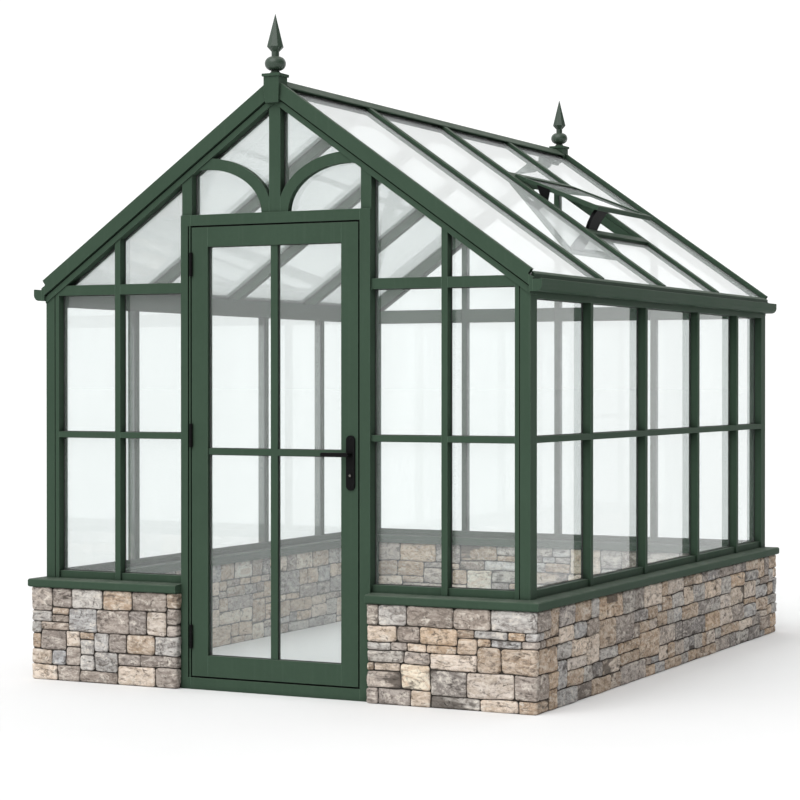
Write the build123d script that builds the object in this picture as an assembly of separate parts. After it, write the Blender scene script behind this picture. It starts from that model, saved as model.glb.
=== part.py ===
from build123d import *
import os
from math import cos, radians, sin, tan

# A walk-in glass greenhouse on a low stone base, with a hinged door in its front gable.
# All sizes are in millimetres. X runs across, Y from front to back and Z up.
# The origin is on the ground, in the middle of the plan.

# --- the frame's overall size, over the outer faces of the corner posts
frame_width = 2424
frame_length = 3276
eave_height = 1842          # top plane of the roof, above the outer face of the side walls
roof_pitch = 35.2           # degrees

# --- stone base and sill
stone_height = 425
stone_thickness = 150
stone_proud = 50            # how far the stone stands outside the frame
sill_thickness = 42
sill_overhang = 12
sill_fall = 5               # drop of the sill's weathered top towards its nose
sill_nose_radius = 9

# --- wall framing
post_size = 70
post_groove_width = 5       # a shadow line down each post, on its gable face
post_groove_depth = 6
post_groove_from_edge = 46
mullion_width = 28
mullion_depth = 50
mid_bar_height = 26
mid_bar_depth = 50
mid_bar_middle = 1127
bottom_rail_height = 33
bottom_rail_depth = 40
bottom_rail_setback = 10
transom_bottom = 1765
transom_height = 45
transom_depth = 60
plate_bottom = 1716
back_tie_height = 72
front_mullion_x = 820
left_bays = 5
right_mullion_shares = (0.199, 0.422, 0.663, 0.865)   # places along the wall, between its corner posts
back_bays = 4

# --- glass and the grooves that hold it
glass_thickness = 4
glass_setback = 42          # middle of the glass, behind the frame's outer face
groove_depth = 6
groove_clearance = 0.3

# --- door frame and leaf
leaf_width = 834
leaf_height = 1994
leaf_thickness = 42
leaf_side_gap = 7.5
leaf_top_gap = 8
leaf_bottom_gap = 8
door_post_width = 50
casing_proud = 12           # how far the door frame and the leaf stand in front of the gable frame
hinge_groove_width = 8      # a shadow line down the hinge post, beside the leaf
hinge_groove_depth = 12
hinge_groove_from_edge = 6
head_height = 48
threshold_height = 52
stile_width = 82
door_top_rail = 87
door_bottom_rail = 93
door_bar_width = 34
door_bar_depth = 28
door_mid_bar = 1060
door_mid_bar_height = 27

# --- hinges and handle
hinge_heights = (235, 1130, 1890)
hinge_length = 105
hinge_radius = 7
hinge_pin_radius = 3.5
hinge_flap_thickness = 2
hinge_flap_width = 36
hinge_clearance = 0.3
leaf_to_barrel = 1
handle_height = 1056
handle_edge_distance = 34   # from the leaf's free edge to the spindle
plate_width = 41
plate_length = 235
plate_corner = 19.5
plate_thickness = 8
plate_above_spindle = 82
lever_length = 125
lever_height = 18
lever_thickness = 12
lever_neck_radius = 9
lever_reach = 50            # from the leaf's face to the lever's outer face
spindle_radius = 5
spindle_lap = 1             # how far the spindle runs into each lever
lock_radius = 8.5
lock_drop = 90
lock_proud = 4

# --- gable
gable_rafter_depth = 61
gable_rafter_proud = 6      # how far its face stands in front of the gable frame
shadow_gap = 7              # the dark line under the bargeboard
shadow_gap_depth = 12
bargeboard_depth = 60
bargeboard_overhang = 17    # front of the bargeboard, in front of the gable frame
bargeboard_lip = 26         # width of its top, which laps over the roof glass
bargeboard_end = 10         # how far its square end reaches past the side wall
bargeboard_wall = 3         # round the hollow that shows in its lower end
bargeboard_hollow = 20
king_post_width = 56
arch_half_span = 290        # half axes of the arched bracket's inner edge
arch_rise = 200
arch_band = 50
arch_depth = 33
arch_centre_x = 357

# --- roof
roof_bays = 4
rafter_width = 40
rafter_depth = 66
rafter_top = 8              # depth of the rafters' top below the roof's top plane
roof_glass_top = 26
ridge_beam_width = 40
ridge_beam_depth = 100
ridge_cap_wing = 50
ridge_cap_thickness = 4
eave_bar_thickness = 16
eave_bar_top = 12
gutter_width = 42
gutter_bottom = 1742
gutter_height = 50
gutter_bead = 3             # radius of the rolled edge along its lip
gutter_wall = 3
gutter_curve = 28

# --- roof vent, in the third bay of the right slope, fixed open
vent_bay_index = 2
vent_from_ridge = 520
vent_length = 475
vent_side_gap = 5
vent_end_gap = 0.3          # between the shut sash and the bars above and below it
vent_bar_width = 30
vent_bar_thickness = 22
vent_open_angle = 13.5
curb_width = 38
curb_depth = 48
stay_thickness = 14
stay_inset = 15             # from the sash's lower end to the stay's head
stay_from_rafter = 28
stay_foot_width = 100
stay_foot_height = 24       # how far the foot reaches down the curb bar
stay_head_width = 150
stay_head_shift = 38
stay_outer_bulge = 30
stay_inner_bulge = 22
arm_along = 130
arm_width = 75
arm_lean = 25
arm_lap = 8                 # how far the arm reaches down the rafter's side

# --- finials
finial_box_width = 75
finial_box_depth = 78
finial_box_proud = 15       # how far its front stands in front of the bargeboards
finial_box_rise = 3         # its top above the roof's highest line
finial_box_straight = 55
finial_box_taper = 5
finial_cap_thickness = 12
finial_cap_overhang = 6
finial_collar_radius = 28
finial_collar_height = 15
finial_ball_radius = 46.5
finial_ball_height = 62
finial_neck_radius = 17
finial_neck_height = 20
finial_spike_radius = 38
finial_flare_height = 22
finial_spike_height = 143
finial_tip_radius = 1
finial_sides = 8

# --- sizes that follow from those above
pitch = radians(roof_pitch)
half_width = frame_width / 2
half_length = frame_length / 2
ridge_height = eave_height + half_width * tan(pitch)
sill_top = stone_height + sill_thickness
stone_x = half_width + stone_proud
stone_y = half_length + stone_proud
sill_x = stone_x + sill_overhang
sill_y = stone_y + sill_overhang
sill_depth = stone_thickness + 2 * sill_overhang
opening_half = leaf_width / 2 + leaf_side_gap
door_post_outer = opening_half + door_post_width
leaf_bottom = threshold_height + leaf_bottom_gap
leaf_top = leaf_bottom + leaf_height
door_mid_span = (door_mid_bar - door_mid_bar_height / 2, door_mid_bar + door_mid_bar_height / 2)
head_bottom = leaf_top + leaf_top_gap
head_top = head_bottom + head_height
casing_front = -half_length - casing_proud
leaf_front = casing_front
leaf_back = leaf_front + leaf_thickness
gable_rafter_top = roof_glass_top + glass_thickness
gable_rafter_bottom = gable_rafter_top + gable_rafter_depth
under_lip = roof_glass_top - groove_clearance
rafter_bottom = rafter_top + rafter_depth
verge_y = half_length + bargeboard_overhang - bargeboard_lip
barge_y = half_length + bargeboard_overhang
roof_bay = 2 * verge_y / roof_bays
eave_x = half_width + eave_bar_thickness
bottom_rail_top = sill_top + bottom_rail_height
back_tie_top = plate_bottom + back_tie_height
hinge_x = -opening_half + hinge_radius + hinge_clearance
hinge_y = leaf_front - leaf_to_barrel - hinge_radius
handle_x = leaf_width / 2 - handle_edge_distance
finial_box_front = barge_y + finial_box_proud
finial_y = finial_box_front - finial_box_depth / 2
finial_box_top = ridge_height + finial_box_rise
finial_box_foot = ridge_height - gable_rafter_bottom / cos(pitch)
vent_end = vent_from_ridge + vent_length + 2 * vent_end_gap
reach = 2 * frame_length    # longer than anything it trims
overrun = 1                 # how far a cut starts outside what it cuts

# The right slope's own frame: X down the slope, Y along the ridge, Z out of the roof.
right_slope = Plane(
    origin=(0, 0, ridge_height),
    x_dir=(cos(pitch), 0, -sin(pitch)),
    z_dir=(sin(pitch), 0, cos(pitch)),
).location


# --- helpers

def block(x, y, z):
    """A box given by its (low, high) span along each axis."""
    spans = (x, y, z)
    size = [high - low for low, high in spans]
    middle = [(low + high) / 2 for low, high in spans]
    return Pos(*middle) * Box(*size)


def prism(corners, direction, length):
    """A flat outline of corner points, carried straight along a direction."""
    outline = make_face(Polyline(*corners, close=True))
    return extrude(outline, amount=length, dir=direction)


def along_y(outline, low, high):
    """An outline of (x, z) corners, carried from y = low to y = high."""
    return prism([(x, low, z) for x, z in outline], (0, 1, 0), high - low)


def left_and_right(shapes):
    """The shapes with their mirror images in the plane x = 0."""
    return shapes + [mirror(shape, about=Plane.YZ) for shape in shapes]


def front_and_back(shapes):
    """The shapes with their mirror images in the plane y = 0."""
    return shapes + [mirror(shape, about=Plane.XZ) for shape in shapes]


def roof_z(x, depth):
    """Height at x of the plane that lies depth below the roof's top plane."""
    return ridge_height - abs(x) * tan(pitch) - depth / cos(pitch)


def under_roof(depth):
    """Everything below both roof planes at a depth."""
    side = 2 * half_width
    outline = [(-side, -reach), (side, -reach), (side, roof_z(side, depth)), (0, roof_z(0, depth)),
               (-side, roof_z(side, depth))]
    return along_y(outline, -reach, reach)


def bays_between(middles, low, high, bar):
    """The clear spans from low to high, between bars with the given middles."""
    starts = [low] + [middle + bar / 2 for middle in middles]
    ends = [middle - bar / 2 for middle in middles] + [high]
    return list(zip(starts, ends))


def even_middles(low, high, count, bar):
    """Bar middles that split a length into count equal bays."""
    step = (high - low + bar) / count
    return [low - bar / 2 + step * i for i in range(1, count)]


def glass_slot():
    """Half the width of a groove for the glass."""
    return glass_thickness / 2 + groove_clearance


def wider(span, amount):
    """A span moved outwards at both ends."""
    low, high = span
    return low - amount, high + amount


glass_bite = groove_depth - groove_clearance
wall_glass_y = half_length - glass_setback
wall_glass_x = half_width - glass_setback
side_clear = half_length - post_size
left_middles = even_middles(-side_clear, side_clear, left_bays, mullion_width)
left_bays_y = bays_between(left_middles, -side_clear, side_clear, mullion_width)
right_middles = [-side_clear + 2 * side_clear * share for share in right_mullion_shares]
right_bays_y = bays_between(right_middles, -side_clear, side_clear, mullion_width)
gable_clear = half_width - post_size
back_middles = even_middles(-gable_clear, gable_clear, back_bays, mullion_width)
back_bays_x = bays_between(back_middles, -gable_clear, gable_clear, mullion_width)
front_columns = [
    (door_post_outer, front_mullion_x - mullion_width / 2),
    (front_mullion_x + mullion_width / 2, gable_clear),
]
roof_middles = [-verge_y + roof_bay * i for i in range(1, roof_bays)]


def front_slot(x, z):
    """A cut for the front glass, over spans in x and z."""
    middle = -wall_glass_y
    return block(x, (middle - glass_slot(), middle + glass_slot()), z)


def side_slot(y, z):
    """A cut for the right wall's glass, over spans in y and z."""
    return block((wall_glass_x - glass_slot(), wall_glass_x + glass_slot()), y, z)


# --- stone base and sill

def stone_walls():
    front = ((-stone_y, -stone_y + stone_thickness), (0, stone_height))
    side_y = (-stone_y + stone_thickness, stone_y - stone_thickness)
    side = block((stone_x - stone_thickness, stone_x), side_y, (0, stone_height))
    right_front = block((door_post_outer, stone_x), *front)
    back = block((-stone_x, stone_x), (stone_y - stone_thickness, stone_y), (0, stone_height))
    return {
        "front_stone_wall_right": [right_front],
        "front_stone_wall_left": [mirror(right_front, about=Plane.YZ)],
        "right_stone_wall": [side],
        "left_stone_wall": [mirror(side, about=Plane.YZ)],
        "back_stone_wall": [back],
    }


def sill_profile():
    """The sill's section as (distance in from its nose, height), flat under the frame."""
    flat_from = sill_overhang + stone_proud
    return [
        (0, stone_height),
        (sill_depth, stone_height),
        (sill_depth, sill_top),
        (flat_from, sill_top),
        (0, sill_top - sill_fall),
    ]


def sill_bar(half_run, face):
    """A sill along X with its nose at y = -face, mitred at 45 degrees at both ends."""
    corners = [(-half_run, d - face, z) for d, z in sill_profile()]
    bar = prism(corners, (1, 0, 0), 2 * half_run)
    nose = bar.edges().filter_by(Axis.X).sort_by(Axis.Y)[:2]
    bar = fillet(nose, sill_nose_radius)
    inner_run = half_run - sill_depth
    plan = [(-half_run, -face, 0), (half_run, -face, 0), (inner_run, sill_depth - face, 0),
            (-inner_run, sill_depth - face, 0)]
    return bar & prism(plan, (0, 0, 1), 2 * sill_top)


def sills():
    front = sill_bar(sill_x, sill_y)
    right_part = front & block((door_post_outer, reach), (-reach, 0), (0, reach))
    side = Rot(0, 0, 90) * sill_bar(sill_y, sill_x)
    return {
        "front_sills": left_and_right([right_part]),
        "side_sills": left_and_right([side]),
        "back_sill": [mirror(front, about=Plane.XZ)],
    }


# --- wall framing

def corner_posts():
    x = (half_width - post_size, half_width)
    y = (-half_length, -half_length + post_size)
    z = (sill_top, reach)
    post = block(x, y, z)
    post -= front_slot((x[0] - overrun, x[0] + groove_depth), z)
    post -= side_slot((y[1] - groove_depth, y[1] + overrun), z)
    shadow_x = half_width - post_groove_from_edge
    post -= block((shadow_x - post_groove_width, shadow_x), (y[0] - overrun, y[0] + post_groove_depth), z)
    post &= under_roof(gable_rafter_bottom)
    return {"corner_posts": front_and_back(left_and_right([post]))}


def mullion(x):
    """An upright of the front gable, grooved on both sides, up to the gable rafter."""
    half = mullion_width / 2
    z = (sill_top, reach)
    bar = block((x - half, x + half), (-half_length, -half_length + mullion_depth), z)
    bar -= front_slot((x - half - overrun, x - half + groove_depth), z)
    bar -= front_slot((x + half - groove_depth, x + half + overrun), z)
    return bar & under_roof(gable_rafter_bottom)


def side_mullion(y):
    """An upright of the right wall, grooved on both sides, up to the wall plate."""
    half = mullion_width / 2
    z = (sill_top, plate_bottom)
    bar = block((half_width - mullion_depth, half_width), (y - half, y + half), z)
    bar -= side_slot((y - half - overrun, y - half + groove_depth), z)
    bar -= side_slot((y + half - groove_depth, y + half + overrun), z)
    return bar


def mullions():
    left = [side_mullion(y) for y in left_middles]
    back = [mirror(mullion(x), about=Plane.XZ) for x in back_middles]
    return {
        "front_mullions": left_and_right([mullion(front_mullion_x)]),
        "right_mullions": [side_mullion(y) for y in right_middles],
        "left_mullions": [mirror(bar, about=Plane.YZ) for bar in left],
        "back_mullions": back,
    }


def front_rail(x, z, depth, setback, grooves):
    """A level bar of the front gable, grooved on its "top", its "bottom" or both."""
    face = -half_length + setback
    bar = block(x, (face, face + depth), z)
    if "top" in grooves:
        bar -= front_slot(wider(x, overrun), (z[1] - groove_depth, z[1] + overrun))
    if "bottom" in grooves:
        bar -= front_slot(wider(x, overrun), (z[0] - overrun, z[0] + groove_depth))
    return bar


def side_rail(y, z, depth, setback, grooves):
    """A level bar of the right wall, grooved like a front rail."""
    face = half_width - setback
    bar = block((face - depth, face), y, z)
    if "top" in grooves:
        bar -= side_slot(wider(y, overrun), (z[1] - groove_depth, z[1] + overrun))
    if "bottom" in grooves:
        bar -= side_slot(wider(y, overrun), (z[0] - overrun, z[0] + groove_depth))
    return bar


def bottom_rails():
    z = (sill_top, bottom_rail_top)
    size = (z, bottom_rail_depth, bottom_rail_setback, "top")
    front = left_and_right([front_rail(x, *size) for x in front_columns])
    right = [side_rail(y, *size) for y in right_bays_y]
    left = [mirror(side_rail(y, *size), about=Plane.YZ) for y in left_bays_y]
    back = [mirror(front_rail(x, *size), about=Plane.XZ) for x in back_bays_x]
    return {"bottom_rails": front + right + left + back}


def mid_bars():
    z = (mid_bar_middle - mid_bar_height / 2, mid_bar_middle + mid_bar_height / 2)
    size = (z, mid_bar_depth, 0, "top and bottom")
    return {
        "front_mid_bars": left_and_right([front_rail(x, *size) for x in front_columns]),
        "right_mid_bars": [side_rail(y, *size) for y in right_bays_y],
    }


def transoms():
    """The level bars at the eaves in both gables."""
    grooves = "top and bottom"
    z = (transom_bottom, transom_bottom + transom_height)
    front = [front_rail(x, z, transom_depth, 0, grooves) for x in front_columns]
    front = [bar & under_roof(gable_rafter_bottom) for bar in front]
    z = (plate_bottom, back_tie_top)
    back = [front_rail(x, z, transom_depth, 0, grooves) for x in back_bays_x]
    back = [mirror(bar & under_roof(gable_rafter_bottom), about=Plane.XZ) for bar in back]
    return {"front_transoms": left_and_right(front), "back_transoms": back}


def wall_plates():
    """The eave beams on the side walls, their tops sloped to carry the rafters."""
    inner = gable_clear
    outer = half_width
    outline = [(inner, plate_bottom), (outer, plate_bottom), (outer, roof_z(outer, rafter_bottom)),
               (inner, roof_z(inner, rafter_bottom))]
    plate = along_y(outline, -side_clear, side_clear)
    groove_z = (plate_bottom - overrun, plate_bottom + groove_depth)
    plate -= side_slot(wider((-side_clear, side_clear), overrun), groove_z)
    return {"wall_plates": left_and_right([plate])}


# --- door frame

def door_frame():
    """The two door posts, from the ground to the rafters, with the head and the threshold between them."""
    x = (opening_half, door_post_outer)
    back = -half_length + post_size
    post = block(x, (-half_length, back), (0, reach))
    post += block(x, (casing_front, -half_length), (0, head_top))
    post -= front_slot((x[1] - groove_depth, x[1] + overrun), (sill_top, reach))
    post -= front_slot((x[0] - overrun, x[0] + groove_depth), (head_top - groove_depth, reach))
    post &= under_roof(gable_rafter_bottom)
    groove_x = -opening_half - hinge_groove_from_edge
    groove_y = (casing_front - overrun, casing_front + hinge_groove_depth)
    groove = block((groove_x - hinge_groove_width, groove_x), groove_y, (threshold_height, head_bottom))
    level = (-opening_half, opening_half)
    head = block(level, (casing_front, back), (head_bottom, head_top))
    head -= front_slot(wider(level, overrun), (head_top - groove_depth, head_top + overrun))
    threshold = block(level, (casing_front, back), (0, threshold_height))
    return {
        "door_posts": [post, mirror(post, about=Plane.YZ) - groove],
        "door_head": [head],
        "door_threshold": [threshold],
    }


# --- gables

def gable_rafter():
    """The front gable's right rafter, with a shadow line in its face and a groove for the glass."""
    y = (-half_length - gable_rafter_proud, -half_length + post_size)
    bar = block((-reach, reach), y, (-gable_rafter_bottom, -gable_rafter_top))
    slot_y = (-wall_glass_y - glass_slot(), -wall_glass_y + glass_slot())
    slot = (-gable_rafter_bottom - overrun, -gable_rafter_bottom + groove_depth)
    bar -= block((-reach, reach), slot_y, slot)
    shadow_y = (y[0] - overrun, y[0] + shadow_gap_depth)
    bar -= block((-reach, reach), shadow_y, (-bargeboard_depth - shadow_gap, -bargeboard_depth))
    bar = (right_slope * bar) & block((0, half_width), (-reach, 0), (0, reach))
    return bar - finial_box()


def finial_box():
    """The box over the front apex, straight above and drawn in below, down to where the rafters meet."""
    straight = (finial_box_top - finial_box_straight, finial_box_top)
    y = (-finial_box_front, -finial_box_front + finial_box_depth)
    half = finial_box_width / 2
    upper = block((-half, half), y, straight)
    rim = Pos(0, -finial_y, straight[0]) * Rectangle(finial_box_width, finial_box_depth)
    foot_size = (finial_box_width - 2 * finial_box_taper, finial_box_depth - 2 * finial_box_taper)
    foot = Pos(0, -finial_y, finial_box_foot) * Rectangle(*foot_size)
    return upper + loft([foot, rim])


def bargeboard():
    """The right bargeboard of the front gable: a face with a hollow top that laps over the roof glass."""
    end = (half_width + bargeboard_end) / cos(pitch)
    top = block((-reach, end), (-barge_y, -verge_y), (-under_lip, 0))
    hollow_y = wider((-barge_y, -verge_y), -bargeboard_wall)
    top -= block((end - bargeboard_hollow, end + overrun), hollow_y, wider((-under_lip, 0), -bargeboard_wall))
    back = -half_length - gable_rafter_proud
    face = right_slope * block((-reach, reach), (-barge_y, back), (-bargeboard_depth, -under_lip))
    face &= block((0, half_width), (-reach, 0), (0, reach))
    bar = right_slope * top + face
    bar &= block((0, reach), (-reach, 0), (0, reach))
    return bar - finial_box()


def king_post():
    """The upright in the middle of the front gable, grooved on both sides."""
    half = king_post_width / 2
    z = (head_top, reach)
    post = block((-half, half), (-half_length, -half_length + post_size), z)
    post -= front_slot((half - groove_depth, half + overrun), z)
    post -= front_slot((-half - overrun, -half + groove_depth), z)
    return post & under_roof(gable_rafter_bottom)


def arch_bracket():
    """The right arched bracket: an elliptical band that rises from the king post and runs into the rafter."""
    outer = Ellipse(arch_half_span + arch_band, arch_rise + arch_band)
    inner = Ellipse(arch_half_span, arch_rise)
    upper = Pos(0, reach / 2) * Rectangle(reach, reach)
    band = (outer - inner) & upper
    front = Plane(origin=(arch_centre_x, -half_length, head_top), x_dir=(1, 0, 0), z_dir=(0, -1, 0))
    arch = extrude(front * band, amount=-arch_depth)
    arch &= block((king_post_width / 2, opening_half), (-reach, 0), (0, reach))
    return arch & under_roof(gable_rafter_bottom)


def gables():
    rafters = front_and_back([gable_rafter()])
    boards = front_and_back([bargeboard()])
    return {
        "right_gable_rafters": rafters,
        "left_gable_rafters": [mirror(bar, about=Plane.YZ) for bar in rafters],
        "right_bargeboards": boards,
        "left_bargeboards": [mirror(bar, about=Plane.YZ) for bar in boards],
        "king_post": [king_post()],
        "arch_brackets": left_and_right([arch_bracket()]),
    }


# --- roof

def between_ridge_and_eave():
    """The part of the right side from the ridge beam's face to the side wall's outer face."""
    return block((ridge_beam_width / 2, half_width), (-reach, reach), (0, reach))


def rafter(y):
    """A rafter of the right slope, grooved on both sides for the roof glass."""
    half = rafter_width / 2
    bar = block((-reach, reach), (y - half, y + half), (-rafter_bottom, -rafter_top))
    middle = -roof_glass_top - glass_thickness / 2
    depth = (middle - glass_slot(), middle + glass_slot())
    bar -= block((-reach, reach), (y - half - overrun, y - half + groove_depth), depth)
    bar -= block((-reach, reach), (y + half - groove_depth, y + half + overrun), depth)
    return (right_slope * bar) & between_ridge_and_eave()


def ridge():
    half = ridge_beam_width / 2
    top = roof_z(half, rafter_top)
    beam = along_y([(-half, top - ridge_beam_depth), (half, top - ridge_beam_depth), (half, top),
                    (0, roof_z(0, rafter_top)), (-half, top)], -side_clear, side_clear)
    wing = ridge_cap_wing
    above = rafter_top - ridge_cap_thickness
    cap_end = finial_box_front - finial_box_depth
    outline = [(x, roof_z(x, rafter_top)) for x in (-wing, 0, wing)]
    outline += [(x, roof_z(x, above)) for x in (wing, 0, -wing)]
    cap = along_y(outline, -cap_end, cap_end)
    return {"ridge_beam": [beam], "ridge_cap": [cap]}


def eave_bars():
    """The upstands along the rafters' ends, above the gutters, notched under the bargeboards' tops."""
    outline = [(half_width, gutter_bottom), (eave_x, gutter_bottom), (eave_x, roof_z(eave_x, eave_bar_top)),
               (half_width, roof_z(half_width, eave_bar_top))]
    bar = along_y(outline, -barge_y, barge_y)
    for notch_y in ((-reach, -verge_y), (verge_y, reach)):
        bar -= right_slope * block((-reach, reach), notch_y, (-under_lip, reach))
    return {"eave_bars": left_and_right([bar])}


def gutter_section(x, wall):
    """The gutter's outer form with its back at x, or its inside when wall is its thickness."""
    outer = x + gutter_width
    top = gutter_bottom + gutter_height + wall
    curve_x = outer - gutter_curve
    curve_z = gutter_bottom + gutter_curve
    radius = gutter_curve - wall
    edges = Polyline((curve_x, gutter_bottom + wall), (x + wall, gutter_bottom + wall), (x + wall, top),
                     (outer - wall, top), (outer - wall, curve_z))
    edges += CenterArc((curve_x, curve_z), radius, -90, 90)
    return make_face(edges)


def gutters():
    """Round-fronted channels under the eaves, closed at both ends, with a rolled bead along the lip."""
    start = Plane(origin=(0, barge_y, 0), x_dir=(1, 0, 0), z_dir=(0, -1, 0))
    shell = extrude(start * gutter_section(eave_x, 0), amount=2 * barge_y)
    bead = Pos(eave_x + gutter_width - gutter_bead, gutter_bottom + gutter_height) * Circle(gutter_bead)
    shell += extrude(start * bead, amount=2 * barge_y)
    inside_start = start.offset(gutter_wall)
    inside = extrude(inside_start * gutter_section(eave_x, gutter_wall), amount=2 * (barge_y - gutter_wall))
    return {"gutters": left_and_right([shell - inside])}


def roof():
    right = [rafter(y) for y in roof_middles]
    return {
        "right_rafters": right,
        "left_rafters": [mirror(bar, about=Plane.YZ) for bar in right],
        **ridge(),
        **eave_bars(),
        **gutters(),
    }


# --- glass

def front_pane(x, z):
    """A sheet of front glass over an opening, reaching into the grooves round it."""
    middle = -wall_glass_y
    half = glass_thickness / 2
    return block(wider(x, glass_bite), (middle - half, middle + half), wider(z, glass_bite))


def side_pane(y, z):
    """A sheet of the right wall's glass over an opening."""
    half = glass_thickness / 2
    return block((wall_glass_x - half, wall_glass_x + half), wider(y, glass_bite), wider(z, glass_bite))


def gable_pane(x, low):
    """A sheet of front glass from a level bar up to the gable rafters."""
    pane = front_pane(x, (low, reach)) & under_roof(gable_rafter_bottom - glass_bite)
    return pane - finial_box()


def wall_glass():
    mid_low = mid_bar_middle - mid_bar_height / 2
    mid_high = mid_bar_middle + mid_bar_height / 2
    lower = (bottom_rail_top, mid_low)
    front = [front_pane(x, lower) for x in front_columns]
    front += [front_pane(x, (mid_high, transom_bottom)) for x in front_columns]
    front += [gable_pane(x, transom_bottom + transom_height) for x in front_columns]
    front += [gable_pane((king_post_width / 2, opening_half), head_top)]
    right = [side_pane(y, lower) for y in right_bays_y]
    right += [side_pane(y, (mid_high, plate_bottom)) for y in right_bays_y]
    left = [mirror(side_pane(y, (bottom_rail_top, plate_bottom)), about=Plane.YZ) for y in left_bays_y]
    back = [front_pane(x, (bottom_rail_top, plate_bottom)) for x in back_bays_x]
    back += [gable_pane(x, back_tie_top) for x in back_bays_x]
    return {
        "front_glass": left_and_right(front),
        "right_glass": right,
        "left_glass": left,
        "back_glass": [mirror(pane, about=Plane.XZ) for pane in back],
    }


def roof_pane(y, down=(-reach, reach)):
    """A sheet of roof glass between two rafters, over a span down the slope."""
    depth = (-roof_glass_top - glass_thickness, -roof_glass_top)
    return (right_slope * block(down, wider(y, glass_bite), depth)) & between_ridge_and_eave()


def roof_bay_span(index):
    """The clear width of a roof bay, between its rafters or between a rafter and a bargeboard."""
    low = -verge_y + roof_bay * index
    high = low + roof_bay
    if index > 0:
        low += rafter_width / 2
    if index < roof_bays - 1:
        high -= rafter_width / 2
    return low, high


def roof_glass():
    boxes = front_and_back([finial_box()])
    spans = [roof_bay_span(i) for i in range(roof_bays)]
    whole = [roof_pane(span) for span in spans]
    whole[0] -= boxes[0]
    whole[-1] -= boxes[1]
    left = [mirror(pane, about=Plane.YZ) for pane in whole]
    vent_span = roof_bay_span(vent_bay_index)
    above = roof_pane(vent_span, (-reach, vent_from_ridge - curb_width))
    below = roof_pane(vent_span, (vent_end + curb_width, reach))
    right = [pane for i, pane in enumerate(whole) if i != vent_bay_index] + [above, below]
    return {"right_roof_glass": right, "left_roof_glass": left}


# --- roof vent

def vent_frame():
    """The two curb bars between the rafters, above and below the vent."""
    y = roof_bay_span(vent_bay_index)
    depth = (-rafter_top - curb_depth, -rafter_top)
    bars = [block((vent_from_ridge - curb_width, vent_from_ridge), y, depth),
            block((vent_end, vent_end + curb_width), y, depth)]
    return [right_slope * bar for bar in bars]


def sash_place():
    """The open sash's own frame: its hinge line, turned up out of the slope."""
    return right_slope * Pos(vent_from_ridge + vent_end_gap, 0, -rafter_top) * Rot(0, -vent_open_angle, 0)


def sash_point(along, above):
    """A point of the open sash, as (distance down the slope, height out of the slope)."""
    turn = radians(vent_open_angle)
    down = vent_from_ridge + vent_end_gap + along * cos(turn) - above * sin(turn)
    return down, -rafter_top + along * sin(turn) + above * cos(turn)


def sash_parts():
    """The sash's stiles, its rails and its pane, grooved together."""
    y = wider(roof_bay_span(vent_bay_index), -vent_side_gap)
    thickness = (-vent_bar_thickness / 2, vent_bar_thickness / 2)
    inner_y = wider(y, -vent_bar_width)
    inner_s = (vent_bar_width, vent_length - vent_bar_width)
    slot = block(wider(inner_s, groove_depth), wider(inner_y, groove_depth), (-glass_slot(), glass_slot()))
    stiles = [block((0, vent_length), (y[0], inner_y[0]), thickness),
              block((0, vent_length), (inner_y[1], y[1]), thickness)]
    rails = [block((0, inner_s[0]), inner_y, thickness), block((inner_s[1], vent_length), inner_y, thickness)]
    half = glass_thickness / 2
    pane = block(wider(inner_s, glass_bite), wider(inner_y, glass_bite), (-half, half))
    place = sash_place()
    return [place * (bar - slot) for bar in stiles], [place * (bar - slot) for bar in rails], [place * pane]


def slope_plate(outline, low, high):
    """An outline in (down the slope, out of the slope), carried from y = low to y = high."""
    return right_slope * extrude(Plane.XZ.offset(-high) * outline, amount=high - low)


def vent_stay():
    """The crescent stay that holds the sash open, leaning from the lower curb bar to the bottom rail."""
    under = -vent_bar_thickness / 2
    head_near = sash_point(vent_length - stay_inset - stay_thickness, under)
    head_far = sash_point(vent_length - stay_inset, under)
    foot = -rafter_top - stay_foot_height
    leaning = Polyline((vent_end - stay_thickness, foot), head_near, head_far, (vent_end, -rafter_top),
                       (vent_end, foot), close=True)
    start = roof_bay_span(vent_bay_index)[0] + stay_from_rafter
    end = start + stay_foot_width
    head = start + stay_head_shift
    head_end = head + stay_head_width
    top = head_near[1] + stay_thickness
    crescent = Line((end, foot), (start, foot)) + SagittaArc((start, foot), (head, top), stay_outer_bulge)
    crescent += Line((head, top), (head_end, top))
    crescent += SagittaArc((head_end, top), (end, foot), -stay_inner_bulge)
    across = Plane(origin=(0, 0, 0), x_dir=(0, 1, 0), z_dir=(1, 0, 0))
    band = right_slope * extrude(across * make_face(crescent), amount=reach)
    return slope_plate(make_face(leaning), start - stay_outer_bulge, head_end) & band


def vent_arm():
    """The short arm between the rafter's side and the sash's side."""
    start = roof_bay_span(vent_bay_index)[0]
    near = sash_point(arm_along, 0)
    far = sash_point(arm_along + arm_width, 0)
    foot = -rafter_top - arm_lap
    outline = Polyline(near, far, (far[0] + arm_lean, foot), (near[0] + 2 * arm_lean, foot), close=True)
    return slope_plate(make_face(outline), start, start + vent_side_gap)


def roof_vent():
    stiles, rails, pane = sash_parts()
    return {
        "vent_curb": vent_frame(),
        "vent_stiles": stiles,
        "vent_rails": rails,
        "vent_glass": pane,
        "vent_stays": [vent_stay(), vent_arm()],
    }


# --- finials

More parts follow.
